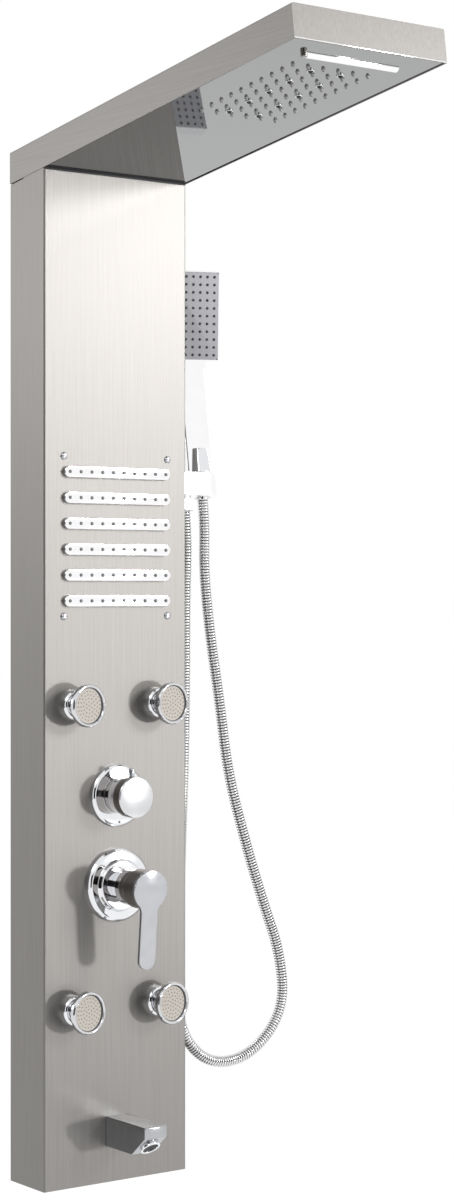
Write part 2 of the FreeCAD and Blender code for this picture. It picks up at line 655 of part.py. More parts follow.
def make_spray_strips():
    """Raised bars with round ends; the rib behind each one passes its slot in the column."""
    body = new_body("spray_strips", on_face("0", low_strip))
    half = "(strip_length / 2 - strip_height / 2)"
    middle = rectangle(body, "bar", "XY_Plane", "-" + half, half, "-strip_height / 2",
                       "strip_height / 2")
    bar = feature(body, "Pad", middle, "bar_pad", "strip_rise")
    ends = circles(body, "ends", "XY_Plane", [("-" + half, "0"), (half, "0")], "strip_height / 2")
    caps = feature(body, "Pad", ends, "end_pad", "strip_rise")
    spine = rectangle(body, "rib", "XY_Plane", "-strip_rib_length / 2", "strip_rib_length / 2",
                      "-strip_rib_height / 2", "strip_rib_height / 2")
    rib = feature(body, "Pad", spine, "rib_pad", "sheet_steel", reverse=True)
    rows = repeat(body, bar, "rows", [("Y_Axis", False, "strip_pitch", "strip_count")])
    rows.Originals = [bar, caps, rib]
    keep(body)

    start = on_face("-strip_nozzle_pitch * (strip_nozzle_count - 1) / 2", low_strip, "strip_rise")
    nozzles = new_body("strip_nozzles", start)
    tip = hexagon(nozzles, "tip", "XY_Plane", "strip_nozzle_radius")
    made = feature(nozzles, "Pad", tip, "nozzle", "strip_nozzle_length")
    repeat(nozzles, made, "field",
           [("X_Axis", False, "strip_nozzle_pitch", "strip_nozzle_count"),
            ("Y_Axis", False, "strip_pitch", "strip_count")])
    keep(nozzles)


def make_spray_manifold():
    """Moulded plate behind the column's front with the water chamber of the strips."""
    body = new_body("spray_manifold", on_face("0", "strips_centre", "0 - sheet_steel"))
    across = "(screw_spacing_across / 2 + manifold_margin)"
    up = "(screw_spacing_up / 2 + manifold_margin)"
    plan = rectangle(body, "plan", "XY_Plane", "-" + across, across, "-" + up, up)
    feature(body, "Pad", plan, "plate", "manifold_plate", reverse=True)
    half = "manifold_chamber_width / 2"
    tall = "manifold_chamber_height / 2"
    block = rectangle(body, "block", "XY_Plane", "-" + half, half, "-" + tall, tall,
                      "-manifold_plate")
    feature(body, "Pad", block, "chamber", "manifold_chamber_depth", reverse=True)
    corners = [(side + "screw_spacing_across / 2", way + "screw_spacing_up / 2")
               for side in ("", "-") for way in ("", "-")]
    holes = circles(body, "holes", "XY_Plane", corners, "screw_shank_radius + fit_gap")
    cut_feature(body, holes, "screw_holes", "manifold_plate * 2", "Symmetric")
    keep(body)

    screws = []
    for index, (across, up) in enumerate(screw_places):
        screws.append(turned("panel_screw_%d" % (index + 1), [
            ("0", "-screw_length"), ("screw_shank_radius", "-screw_length"),
            ("screw_shank_radius", "0"), ("screw_head_radius", "0"),
            ("screw_head_radius * 0.9", "screw_head_rise * 0.55"),
            ("screw_head_radius * 0.55", "screw_head_rise * 0.9"), ("0", "screw_head_rise")],
            on_face(across, up)))
    keep(group("manifold_screws", screws))


# ---- body jets ---------------------------------------------------------------------------

def make_jet(number, across, height):
    """A ball jet: threaded ring, ball, mushroom head and its nozzle face."""
    place = on_face(across, height)
    ring = turned("jet_ring_%d" % number, [
        ("jet_bore_radius", "-jet_tail_length"), ("jet_tail_radius", "-jet_tail_length"),
        ("jet_tail_radius", "0"), ("jet_ring_radius", "0"),
        ("jet_ring_radius", "jet_ring_rise * 0.7"), ("jet_ring_radius - 1.6", "jet_ring_rise"),
        ("jet_bore_radius", "jet_ring_rise")], place)
    centre = place.multiply(Placement(Vector(0, 0, size("jet_ball_offset")), Rotation()))
    cup = doc.addObject("Part::Sphere", "jet_cup_%d" % number)
    cup.setExpression("Radius", bound("jet_ball_radius + ball_gap"))
    cup.Placement = centre
    keep(minus("jet_base_%d" % number, ring, cup))

    pan = Rotation(Vector(0, 0, 1), size("jet_rest_pan"))
    aim = Placement(centre.Base, pan.multiply(centre.Rotation))
    ball = doc.addObject("Part::Sphere", "jet_ball_%d" % number)
    ball.setExpression("Radius", bound("jet_ball_radius"))
    ball.Angle1 = -60
    ball.Angle2 = 65
    ball.Placement = aim
    keep(ball)

    seat = "(jet_ball_radius + ball_gap)"
    rim_back = "jet_head_front - jet_rim_depth"
    pocket = "(jet_head_front - jet_face_recess - jet_face_thickness)"
    inner = "(jet_head_radius - jet_rim_wall)"
    blank = turned("jet_blank_%d" % number, [
        ("0", "0"), ("jet_skirt_radius", "jet_skirt_front"), ("jet_head_radius - 1", rim_back),
        ("jet_head_radius", rim_back + " + 1"), ("jet_head_radius", "jet_head_front - 1"),
        ("jet_head_radius - 1", "jet_head_front"), (inner, "jet_head_front"),
        (inner, pocket), ("0", pocket)], aim)
    hollow = doc.addObject("Part::Sphere", "jet_seat_%d" % number)
    hollow.setExpression("Radius", bound(seat))
    hollow.Placement = aim
    skirt = rod("jet_skirt_%d" % number, "jet_head_radius", "0", "jet_skirt_front", aim)
    duct = rod("jet_duct_%d" % number, "jet_water_radius", "0", pocket, aim)
    keep(minus("jet_head_%d" % number, blank, hollow, skirt, duct))
    keep(turned("jet_face_%d" % number, [
        ("0", pocket), (inner + " - fit_gap", pocket),
        (inner + " - fit_gap", pocket + " + jet_face_thickness - 0.8"),
        (inner + " - 1", pocket + " + jet_face_thickness"),
        ("0", pocket + " + jet_face_thickness")], aim))
    return nut("jet_nut_%d" % number, "jet_nut_radius", "jet_tail_radius + fit_gap",
               "-(sheet_steel + lock_nut_height)", "-sheet_steel", place)


# ---- function knob -----------------------------------------------------------------------

def make_function_knob():
    """Cover plate, knob with its pointer peg, stem and the brass valve block behind."""
    place = on_face("0", "knob_height")
    keep(turned("diverter_plate", [
        ("knob_boss_radius + fit_gap", "0"), ("knob_plate_radius", "0"),
        ("knob_plate_radius", "knob_plate_rise * 0.5"),
        ("knob_plate_radius - 1.2", "knob_plate_rise * 0.85"),
        ("knob_plate_radius - 3.5", "knob_plate_rise"),
        ("knob_boss_radius + fit_gap", "knob_plate_rise")], place))
    back = "knob_plate_rise + knob_gap"
    grip = turned("knob_grip", [
        ("knob_stem_radius + fit_gap", back), ("knob_skirt_radius", back),
        ("knob_skirt_end_radius", "knob_skirt_end"), ("knob_radius", "knob_skirt_end"),
        ("knob_radius", "knob_front - 1"), ("knob_radius - 1", "knob_front"),
        ("0", "knob_front"), ("0", "knob_socket_end"),
        ("knob_stem_radius + fit_gap", "knob_socket_end")], place)
    upward = place.multiply(Placement(Vector(0, 0, size("knob_peg_offset")),
                                      Rotation(Vector(1, 0, 0), -90)))
    peg = rod("knob_peg", "knob_peg_radius", "knob_radius / 2", "knob_radius + knob_peg_rise", upward)
    keep(plus("diverter_knob", grip, peg))
    keep(rod("diverter_stem", "knob_stem_radius", "-knob_stem_depth",
             "knob_socket_end - fit_gap", place))

    block = box("diverter_block", [
        ("-diverter_width / 2", "diverter_width / 2"),
        ("-diverter_height / 2", "diverter_height / 2"),
        ("-(diverter_front + diverter_depth)", "-diverter_front")], place)
    boss = rod("diverter_boss", "knob_boss_radius", "-(diverter_front + 1)", "knob_boss_front", place)
    link = rod("valve_link", "valve_link_radius", "mixer_height + mixer_block_height / 2",
               "knob_height - diverter_height / 2", Placement(), ("0", "-(%s)" % link_depth))
    whole = plus("diverter_whole", block, boss, link)
    bore = rod("diverter_bore", "knob_stem_radius + fit_gap", "-(knob_stem_depth + ball_gap)",
               "knob_boss_front", place)
    keep(minus("diverter_body", whole, bore))


link_depth = "column_depth - mixer_front - mixer_depth / 2"


# ---- mixer -------------------------------------------------------------------------------

def make_mixer():
    """Body with two inlets that face the wall, cartridge, two-way stem and keyhole lever."""
    place = on_face("0", "mixer_height")
    keep(turned("mixer_plate", [
        ("mixer_neck_radius + fit_gap", "0"), ("mixer_plate_radius", "0"),
        ("mixer_plate_radius", "mixer_plate_rise * 0.5"),
        ("mixer_plate_radius - 1.2", "mixer_plate_rise * 0.85"),
        ("mixer_plate_radius - 4", "mixer_plate_rise"), ("mixer_ring_radius + 1", "mixer_plate_rise"),
        ("mixer_ring_radius", "mixer_ring_rise - 1"), ("mixer_ring_radius - 1.5", "mixer_ring_rise"),
        ("mixer_neck_radius + fit_gap", "mixer_ring_rise")], place))

    block = box("mixer_block", [
        ("-mixer_width / 2", "mixer_width / 2"),
        ("-mixer_block_height / 2", "mixer_block_height / 2"),
        ("-(mixer_front + mixer_depth)", "-mixer_front")], place)
    neck = rod("mixer_neck", "mixer_neck_radius", "-(mixer_front + 1)", "mixer_neck_front", place)
    inlets = [rod("inlet_%d" % index, "inlet_radius",
                  "-(mixer_front + mixer_depth + inlet_length)", "-(mixer_front + mixer_depth / 2)",
                  place, (side + "inlet_spacing / 2", "0"))
              for index, side in enumerate(("-", ""))]
    seat = rod("cartridge_bore", "cartridge_radius + fit_gap", "-cartridge_back",
               "mixer_neck_front", place)
    keep(minus("mixer_body", plus("mixer_whole", block, neck, *inlets), seat))
    sleeve = rod("cartridge_sleeve", "cartridge_radius", "-cartridge_back", "mixer_neck_front", place)
    well = rod("cartridge_well", "stem_radius + fit_gap", "-(stem_back + ball_gap)",
               "mixer_neck_front", place)
    keep(minus("mixer_cartridge", sleeve, well))
    keep(turned("cartridge_cover", [
        ("collar_bore", "mixer_neck_front"), ("collar_radius - 0.6", "mixer_neck_front"),
        ("collar_radius", "mixer_neck_front + 0.6"), ("collar_radius", "collar_front - 0.6"),
        ("collar_radius - 0.6", "collar_front"), ("collar_bore", "collar_front")], place))

    shaft = rod("stem_shaft", "stem_radius", "-stem_back", "stem_front", place)
    fork = box("stem_fork", [("-(spindle_radius + ball_gap)", "spindle_radius + ball_gap"),
                             ("-stem_radius", "stem_radius"), ("stem_slot_floor", "stem_front")],
               place)
    across = place.multiply(Placement(Vector(0, 0, size("lever_pivot")),
                                      Rotation(Vector(0, 1, 0), 90)))
    eye = rod("fork_eye", "spindle_pin_radius + fit_gap / 2", "-stem_radius", "stem_radius", across)
    keep(minus("temperature_stem", shaft, fork, eye))
    keep(rod("spindle_pin", "spindle_pin_radius", "-stem_radius * 0.9", "stem_radius * 0.9", across))
    spindle = rod("spindle_rod", "spindle_radius", "spindle_back", "spindle_front", place)
    spindle_eye = rod("spindle_eye", "spindle_pin_radius + fit_gap", "-stem_radius",
                      "stem_radius", across)
    keep(minus("lever_spindle", spindle, spindle_eye))

    back = "(collar_front + lever_cap_gap)"
    inner = "(lever_cap_radius - lever_cap_wall)"
    cap = turned("lever_cap", [
        (inner, back), ("lever_cap_radius", back), ("lever_cap_radius", "lever_front + 5"),
        ("0", "lever_front + 5"), ("0", "spindle_front + ball_gap"),
        ("spindle_radius + fit_gap / 2", "spindle_front + ball_gap"),
        ("spindle_radius + fit_gap / 2", "lever_cavity_front"), (inner, "lever_cavity_front")], place)
    sloped = place.multiply(Placement(Vector(0, 0, size("lever_front")),
                                      Rotation(Vector(1, 0, 0), size("lever_slope"))))
    beyond = box("lever_beyond", [("-lever_reach", "lever_reach"), ("-lever_reach", "lever_reach"),
                                  ("0", "lever_reach")], sloped)
    tip = "(lever_reach - lever_blade_width / 2)"
    blade = box("lever_blade", [("-lever_blade_width / 2", "lever_blade_width / 2"),
                                ("-" + tip, "0"), ("-lever_blade_thickness", "0")], sloped)
    round_tip = rod("lever_tip", "lever_blade_width / 2", "-lever_blade_thickness", "0", sloped,
                    ("0", "-" + tip))
    keep(plus("mixer_lever", minus("lever_face_cut", cap, beyond), blade, round_tip))


# ---- spout -------------------------------------------------------------------------------

def make_spout():
    """Square spout with a bevelled mouth, its threaded tail and the ring in the bevel."""
    place = on_face("0", spout_centre)
    body = new_body("spout_body", place)
    half = "spout_drop / 2"
    side = outline(body, "side", "YZ_Plane", [
        ("-" + half, "0"), ("%s - 1.5" % half, "0"), (half, "1.5"), (half, "spout_reach - 1.5"),
        (half + " - 1.5", "spout_reach"), (half + " - spout_nose", "spout_reach"),
        ("-" + half, "spout_belly")])
    feature(body, "Pad", side, "block", "spout_width", "Symmetric")
    stub = circles(body, "stub", "XY_Plane", [("0", "0")], "spout_tail_radius")
    feature(body, "Pad", stub, "tail", "spout_tail_length", reverse=True)
    bore = circles(body, "bore", "XY_Plane", [("0", "0")], "spout_bore", "-spout_tail_length")
    cut_feature(body, bore, "waterway", "spout_tail_length + spout_belly", reverse=True)

    rise = size("spout_drop - spout_nose")
    run = size("spout_reach - spout_belly")
    slope = math.degrees(math.atan2(rise, run))
    middle = Vector(0, -size("spout_nose / 2"), size("(spout_reach + spout_belly) / 2"))
    mouth = place.multiply(Placement(middle, Rotation(Vector(1, 0, 0), 90 - slope)))
    socket = rod("mouth_socket", "aerator_radius + fit_gap", "-aerator_depth", "1", mouth)
    keep(minus("spout", body, socket))
    keep(turned("aerator", [
        ("0", "-aerator_depth"), ("aerator_radius", "-aerator_depth"), ("aerator_radius", "0.4"),
        ("aerator_radius - aerator_wall", "0.4"), ("aerator_radius - aerator_wall", "-2.4"),
        ("0", "-2.4")], mouth))


# ---- side holder, hand shower and hose ---------------------------------------------------

holder_across = "(column_width / 2 + holder_arm)"
holder_place = Placement(Vector(size(holder_across), -size("holder_back"), size("holder_height")),
                         Rotation(Vector(1, 0, 0), -size("holder_lean")))
cone_taper = "((cone_top_radius - cone_bottom_radius) / (cone_top + cone_bottom))"


def make_holder():
    """Round-ended arm with a tapered socket and, below it, the water outlet."""
    body = new_body("holder_block", holder_place)
    half = "holder_thickness / 2"
    arm = rectangle(body, "arm", "XY_Plane", "-holder_arm", "0", "-holder_radius",
                    "holder_radius", "-%s" % half)
    feature(body, "Pad", arm, "arm_pad", "holder_thickness")
    cup = circles(body, "cup", "XY_Plane", [("0", "0")], "holder_radius", "-%s" % half)
    feature(body, "Pad", cup, "cup_pad", "holder_thickness")
    top = size(half)
    dress(body, "Chamfer", "holder_edge",
          lambda edge: abs(abs(middle_of(edge).z) - top) < 0.01 and edge.BoundBox.ZLength < 0.01
          and middle_of(edge).x > size("0.01 - holder_arm"))
    outlet = circles(body, "outlet", "XY_Plane", [("-outlet_offset", "0")], "outlet_radius",
                     "-%s" % half)
    feature(body, "Pad", outlet, "outlet_stub", "outlet_length", reverse=True)
    water = circles(body, "water", "XY_Plane", [("-outlet_offset", "0")], "outlet_bore",
                    "-(%s + outlet_length)" % half)
    cut_feature(body, water, "outlet_way", "outlet_length + holder_thickness / 2", reverse=True)
    sideways = holder_place.multiply(Placement(Vector(-size("holder_arm"), 0, 0),
                                               Rotation(Vector(0, 1, 0), -90)))
    spigot = rod("holder_spigot", "spigot_radius", "-1", "spigot_length", sideways)
    socket = cone("holder_socket",
                  "cone_bottom_radius + %s * (cone_bottom - %s) + socket_gap" % (cone_taper, half),
                  "cone_top_radius - %s * (cone_top - %s) + socket_gap" % (cone_taper, half),
                  "-" + half, half, holder_place)
    keep(minus("hose_holder", plus("holder_whole", body, spigot), socket))

    outlet_place = holder_place.multiply(Placement(Vector(-size("outlet_offset"), 0, 0), Rotation()))
    blank = nut("nut_blank", "hose_nut_radius", "outlet_radius + fit_gap",
                "-hose_nut_end", "-hose_nut_start", outlet_place)
    floor = rod("nut_floor", "outlet_radius + fit_gap", "-hose_nut_end",
                "-(%s + outlet_length)" % half, outlet_place)
    way = rod("nut_way", "hose_bore", "-hose_nut_end", "-(%s + outlet_length)" % half, outlet_place)
    keep(minus("hose_nut", plus("nut_whole", blank, floor), way))

    spout_place = on_face("0", spout_centre)
    behind = "sheet_steel + fit_gap"
    return [nut("spout_nut", "lock_nut_radius", "spout_tail_radius + fit_gap",
                "-(sheet_steel + lock_nut_height)", "-sheet_steel", spout_place),
            nut("holder_nut", "lock_nut_radius", "spigot_radius + fit_gap",
                behind, behind + " + lock_nut_height", sideways)]


hand_turn = Rotation(Vector(0, 0, 1), -size("hand_twist"))
hand_place = holder_place.multiply(Placement(Vector(), hand_turn))


def make_hand_shower():
    """Hose cone, flat handle with its round ferrule, head shell, face plate and nozzles."""
    bottom_cone = cone("cone_skirt", "cone_bottom_radius", "cone_top_radius", "-cone_bottom",
                       "cone_top", holder_place)
    swivel = rod("cone_swivel", "cone_spigot_radius", "cone_top", "cone_top + cone_spigot_length",
                 holder_place)
    way = rod("cone_way", "hose_bore", "-cone_bottom", "cone_top + cone_spigot_length", holder_place)
    keep(minus("hose_cone", plus("cone_whole", bottom_cone, swivel), way))

    bend = "plate_bend"
    low_front = ("-(plate_forward - plate_length / 2 * sin(%s))" % bend,
                 "plate_up - plate_length / 2 * cos(%s)" % bend)
    low_back = (low_front[0] + " + plate_thickness * cos(%s)" % bend,
                low_front[1] + " + plate_thickness * sin(%s)" % bend)
    handle = new_body("handle_blade", hand_place)
    side = outline(handle, "side", "YZ_Plane", [
        ("-handle_thickness / 2", "ferrule_start"), ("handle_thickness / 2", "ferrule_start"),
        ("handle_thickness / 2", "handle_shoulder"), low_back, low_front,
        ("-handle_thickness / 2", "handle_shoulder")])
    feature(handle, "Pad", side, "blade", "handle_width", "Symmetric")
    dress(handle, "Fillet", "handle_edge",
          lambda edge: edge_along(edge, Vector(0, 0, 1)) and edge.Length > size("handle_width"))
    ferrule = cone("ferrule", "ferrule_radius", "ferrule_end_radius", "ferrule_start",
                   "ferrule_end", hand_place)

    face = Placement(Vector(0, -size("plate_forward"), size("plate_up")),
                     Rotation(Vector(1, 0, 0), 90 + size(bend)))
    face_place = hand_place.multiply(face)
    shell = new_body("hand_head", face_place)
    wide = "plate_width / 2"
    tall = "plate_length / 2"
    plan = rectangle(shell, "plan", "XY_Plane", "-" + wide, wide, "-" + tall, tall)
    feature(shell, "Pad", plan, "shell", "plate_thickness", reverse=True)
    dress(shell, "Fillet", "plate_corner", lambda edge: edge_along(edge, Vector(0, 0, 1)))
    recess = rectangle(shell, "recess", "XY_Plane", "face_border - " + wide, wide + " - face_border",
                       "face_border - " + tall, tall + " - face_border")
    cut_feature(shell, recess, "face_recess", "face_sheet")
    socket = rod("ferrule_socket", "cone_spigot_radius + fit_gap", "ferrule_start",
                 "cone_top + cone_spigot_length + ball_gap", hand_place)
    keep(minus("hand_shower_body", plus("hand_whole", handle, ferrule, shell), socket))

    plate = new_body("hand_shower_plate", face_place)
    margin = "(face_border + fit_gap)"
    sheet_plan = rectangle(plate, "plan", "XY_Plane", "%s - %s" % (margin, wide),
                           "%s - %s" % (wide, margin), "%s - %s" % (margin, tall),
                           "%s - %s" % (tall, margin))
    feature(plate, "Pad", sheet_plan, "plate", "face_sheet", reverse=True)
    keep(plate)

    corner = Vector(-size("spray_pitch * (spray_columns - 1) / 2"),
                    -size("spray_pitch * (spray_rows - 1) / 2"), 0)
    nozzles = new_body("hand_shower_nozzles", face_place.multiply(Placement(corner, Rotation())))
    tip = hexagon(nozzles, "tip", "XY_Plane", "spray_nozzle_radius")
    made = feature(nozzles, "Pad", tip, "nozzle", "spray_nozzle_length")
    repeat(nozzles, made, "field", [("X_Axis", False, "spray_pitch", "spray_columns"),
                                    ("Y_Axis", False, "spray_pitch", "spray_rows")])
    keep(nozzles)


# The hose hangs from the cone nut, down past the column's side and back up to the outlet.
hose_route = [
    (146.5, -46, 720), (156.5, -45, 640), (171.5, -44, 560), (185, -43, 470), (212, -42, 385),
    (239, -41.5, 310), (268, -41, 240), (274, -41, 168), (222, -41, 116), (156, -41, 113),
    (111.5, -41.5, 160), (111, -42, 240), (112.5, -43, 325), (115, -44, 415), (118, -45, 505),
    (118.5, -46, 600), (117.5, -47.5, 690)]
cone_run = 30
outlet_run = 35


def make_hose():
    """Ribbed metal hose: ruled ribs round a smooth bore, with a straight end at each fitting."""
    top = holder_place.multVec(Vector(0, 0, -size("cone_bottom")))
    outlet = holder_place.multVec(Vector(-size("outlet_offset"), 0, -size("hose_nut_end")))
    down = holder_place.Rotation.multVec(Vector(0, 0, -1))
    points = [top, top + down * cone_run] + [Vector(*point) for point in hose_route]
    points += [outlet + down * outlet_run, outlet]
    path, radii = rounded_path(points)
    print("hose: length %.0f, radii %s" % (path.Length, " ".join("%.0f" % one for one in radii)))
    made = doc.addObject("Part::Feature", "shower_hose")
    made.Shape = ribbed_hose(path)
    return keep(made)


def ring_at(path_edges, lengths, distance, radius):
    """A circle square to the path, on a steady X axis, at a distance along it."""
    for edge, (start, end) in zip(path_edges, lengths):
        if distance <= end + 1e-9:
            break
    where = edge.getParameterByLength(min(max(distance - start, 0), edge.Length))
    spot = edge.valueAt(where)
    heading = edge.tangentAt(where)
    side = Vector(0, -1, 0)
    side = (side - heading * side.dot(heading)).normalize()
    circle = Part.Circle(spot, heading, radius)
    turn = circle.XAxis.getAngle(side)
    if circle.XAxis.cross(side).dot(heading) < 0:
        turn = -turn
    edge_ring = Part.Circle(spot, heading, radius).toShape()
    edge_ring.rotate(spot, heading, math.degrees(turn))
    return Part.Wire(edge_ring)


def ribbed_hose(path):
    """Long crests between narrow grooves, four circles to a rib, closed round the bore."""
    edges = path.OrderedEdges
    lengths = []
    run = 0
    for edge in edges:
        lengths.append((run, run + edge.Length))
        run += edge.Length
    crest = size("hose_radius")
    groove_radius = crest - size("rib_groove")
    straight = crest * 2
    count = int(size("rib_count"))
    pitch = (run - straight * 2) / count
    slope = size("rib_groove")
    stations = [(0, crest)]
    for index in range(count):
        start = straight + index * pitch
        stations += [(start, crest), (start + slope, groove_radius),
                     (start + slope * 3, groove_radius), (start + slope * 4, crest)]
    stations.append((run, crest))
    outer = Part.makeLoft([ring_at(edges, lengths, where, radius) for where, radius in stations],
                          False, True)
    bore = size("hose_bore")
    inner_stations = [0] + [straight + index * pitch for index in range(count + 1)] + [run]
    inner = Part.makeLoft([ring_at(edges, lengths, where, bore) for where in inner_stations],
                          False, True)
    caps = []
    for where in (0, run):
        disc = Part.Face(ring_at(edges, lengths, where, crest))
        caps.append(disc.cut(Part.Face(ring_at(edges, lengths, where, bore))))
    shell = Part.Shell(outer.Faces + inner.Faces + [face for cap in caps for face in cap.Faces])
    solid = Part.Solid(shell)
    if solid.Volume < 0:
        solid.reverse()
    return solid


# ---- pipes inside ------------------------------------------------------------------------

def make_pipes():
    """Water pipes from the mixer and the function valve to every outlet."""
    row = -size("column_depth - pipe_row")
    side = size("pipe_spacing")
    top = size("knob_height + diverter_height / 2")
    rise = size("head_pipe_rise")
    # height at which an upright pipe in the row meets the pipe line of the head
    bend_along = (-row + math.sin(math.radians(size("head_tilt"))) * rise) / math.cos(
        math.radians(size("head_tilt")))

    chamber_back = size(first_row + " - chamber_margin")
    pipe("rain_pipe", [(-side, row, top), head_point(-side, bend_along, rise),
                       head_point(-side, chamber_back, rise)], "pipe_radius")
    shift = size("fall_pipe_shift")
    out = size("fall_pipe_side")
    fall_back = size(lip_place + " - fall_chamber_depth / 2")
    pipe("waterfall_pipe", [(0, row, top), (0, row, shift), (out, row, shift + out),
                            head_point(out, bend_along, rise), head_point(out, fall_back, rise)],
         "pipe_radius")
    spigot_end = size("column_width / 2 - spigot_length")
    elbow = size("spigot_radius") * 2
    pipe("outlet_pipe", [(side, row, top), (side, row, size("holder_height")),
                         (spigot_end, row, size("holder_height"))], "pipe_radius",
         [Part.makeCylinder(size("spigot_radius"), elbow / 2,
                            Vector(spigot_end - elbow / 2, -size("holder_back"),
                                   size("holder_height")), Vector(1, 0, 0))])

    spray_depth = -size("%s - manifold_plate - manifold_chamber_depth / 2" % inner_depth)
    feed = doc.addObject("Part::Cylinder", "spray_pipe")
    feed.setExpression("Radius", bound("pipe_radius - 0.5"))
    feed.Height = size("strips_centre - manifold_chamber_height / 2") - top
    feed.Placement = Placement(Vector(0, spray_depth, top), Rotation())
    keep(feed)

    jet_row = -size("column_depth - jet_pipe_back")
    half = size("jet_spacing / 2")
    radius = size("pipe_radius")
    low = size("jet_lower_height")
    high = size("jet_upper_height")
    tail = -size("column_depth - jet_tail_length")
    pieces = []
    for across in (-half, half):
        pieces.append(Part.makeCylinder(radius, high - low + radius * 2,
                                        Vector(across, jet_row, low - radius)))
        for height in (low, high):
            pieces.append(Part.makeCylinder(size("jet_bore_radius - fit_gap"),
                                            jet_row - tail + size("jet_bore_radius"),
                                            Vector(across, jet_row, height), Vector(0, -1, 0)))
        inner = math.copysign(size("diverter_width / 2"), across)
        pieces.append(Part.makeCylinder(radius, abs(across - inner),
                                        Vector(inner, jet_row, size("knob_height")),
                                        Vector(math.copysign(1, across), 0, 0)))
    jets = doc.addObject("Part::Feature", "jet_pipes")
    arms = [pieces[0].multiFuse(pieces[1:4]), pieces[4].multiFuse(pieces[5:8])]
    jets.Shape = Part.makeCompound(arms)
    keep(jets)

    # the spout's pipe leaves the valve beside its link, then runs down behind the mixer
    spout_row = -size("column_depth - spout_pipe_back")
    across = size("spout_pipe_side")
    valve_low = size("knob_height - diverter_height / 2")
    middle = size(spout_centre)
    elbow_half = size("spout_tail_radius + elbow_wall")
    tail_end = -size("column_depth - spout_tail_length")
    elbow = Part.makeBox(elbow_half * 2, size("spout_elbow_depth"), elbow_half * 2,
                         Vector(-elbow_half, tail_end, middle - elbow_half))
    pipe("spout_pipe", [(across, row, valve_low), (across, row, valve_low - size("spout_pipe_run")),
                        (0, spout_row, valve_low - size("spout_pipe_shift")),
                        (0, spout_row, middle)], "spout_pipe_radius", [elbow])


# ---- build -------------------------------------------------------------------------------

make_column_cover()
make_head_shell()
make_head_underside()
make_rain_nozzles()
make_power_nozzles()
make_waterfall()
make_rain_chamber()
make_head_bracket()
make_hangers()
make_spray_strips()
make_spray_manifold()
lock_nuts = [make_jet(index + 1, across, height) for index, (across, height) in enumerate(jet_places)]
make_function_knob()
make_mixer()
make_spout()
lock_nuts += make_holder()
keep(group("lock_nuts", lock_nuts))
make_hand_shower()
make_hose()
make_pipes()
doc.recompute()

for item in doc.Objects:
    if "Invalid" in item.State or "Error" in item.State:
        raise RuntimeError("%s did not build: %s" % (item.Label, item.State))
os.makedirs("parts", exist_ok=True)
for node in parts:
    if node.Shape.isNull() or not node.Shape.isValid() or not node.Shape.Solids:
        raise RuntimeError("%s has no valid solid" % node.Label)
for node in parts:
    node.Shape.exportStep("parts/%s.step" % node.Label)
print("%d sub-parts, %d solids" % (len(parts), sum(len(node.Shape.Solids) for node in parts)))
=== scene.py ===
import json
import math

import bmesh
import bpy
from mathutils import Matrix, Vector


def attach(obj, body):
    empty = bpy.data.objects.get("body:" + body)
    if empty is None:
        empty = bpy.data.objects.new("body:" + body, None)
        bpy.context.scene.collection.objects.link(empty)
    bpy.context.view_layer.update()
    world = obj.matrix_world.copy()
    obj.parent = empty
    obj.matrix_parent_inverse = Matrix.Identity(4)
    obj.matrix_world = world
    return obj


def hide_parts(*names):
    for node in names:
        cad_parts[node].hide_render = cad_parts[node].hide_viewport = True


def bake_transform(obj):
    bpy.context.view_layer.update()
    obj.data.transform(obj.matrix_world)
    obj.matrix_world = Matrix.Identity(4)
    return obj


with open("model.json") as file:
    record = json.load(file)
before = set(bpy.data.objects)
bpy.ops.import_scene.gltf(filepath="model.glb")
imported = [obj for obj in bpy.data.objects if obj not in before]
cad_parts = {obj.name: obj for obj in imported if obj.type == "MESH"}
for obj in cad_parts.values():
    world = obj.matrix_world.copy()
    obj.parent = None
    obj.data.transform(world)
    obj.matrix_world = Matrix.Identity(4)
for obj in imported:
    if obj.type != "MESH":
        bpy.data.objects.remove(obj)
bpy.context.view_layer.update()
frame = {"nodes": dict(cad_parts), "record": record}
slotOf = {part["node"]: part["material_slot"] for part in frame["record"]["subparts"]}
column = {"width": 200, "depth": 74, "height": 1180}  # millimetres, as every size below
head = {"length": 550, "width": 202, "thickness": 37, "tilt": 7.7, "gap": 1, "recess": 1}
print("frame loaded")


# camera, level, at the photograph's place
view = {"turn": 36.286, "place": (-1607.8, -2483.5, 692.4), "focal": 2462, "horizon": 591.5}
photo = {"width": 454, "height": 1200}
sensor = 36
cameraData = bpy.data.cameras.new("camera")
cameraData.sensor_fit = "VERTICAL"
cameraData.sensor_height = sensor
cameraData.lens = view["focal"] / photo["height"] * sensor
cameraData.shift_y = (view["horizon"] - photo["height"] / 2) / photo["height"]
cameraData.clip_end = 50
camera = bpy.data.objects.new("camera", cameraData)
camera.location = Vector(view["place"]) / 1000
camera.rotation_euler = (math.pi / 2, 0, -math.radians(view["turn"]))
bpy.context.scene.collection.objects.link(camera)
bpy.context.scene.camera = camera
bpy.context.scene.view_settings.view_transform = "Standard"


# places: matrices in millimetres
def moved(x, y, z):
    return Matrix.Translation((x, y, z))


def turned(degrees, axis):
    return Matrix.Rotation(math.radians(degrees), 4, axis)


def onFront(across, height, out=0):
    return moved(across, -column["depth"] - out, height) @ turned(90, "X")  # Z comes out of the front


headPlace = moved(0, 0, column["height"] + head["gap"]
                  - column["depth"] * math.tan(math.radians(head["tilt"]))) @ turned(-head["tilt"], "X")
underPlace = headPlace @ moved(0, 0, head["recess"]) @ turned(180, "X")  # Z points down from the tray
holderPlace = moved(149.5, -37, 821) @ turned(-8.7, "X")
handPlace = holderPlace @ turned(-10.5, "Z")
facePlace = handPlace @ moved(0, -20, 209) @ turned(90 + 13.4, "X")


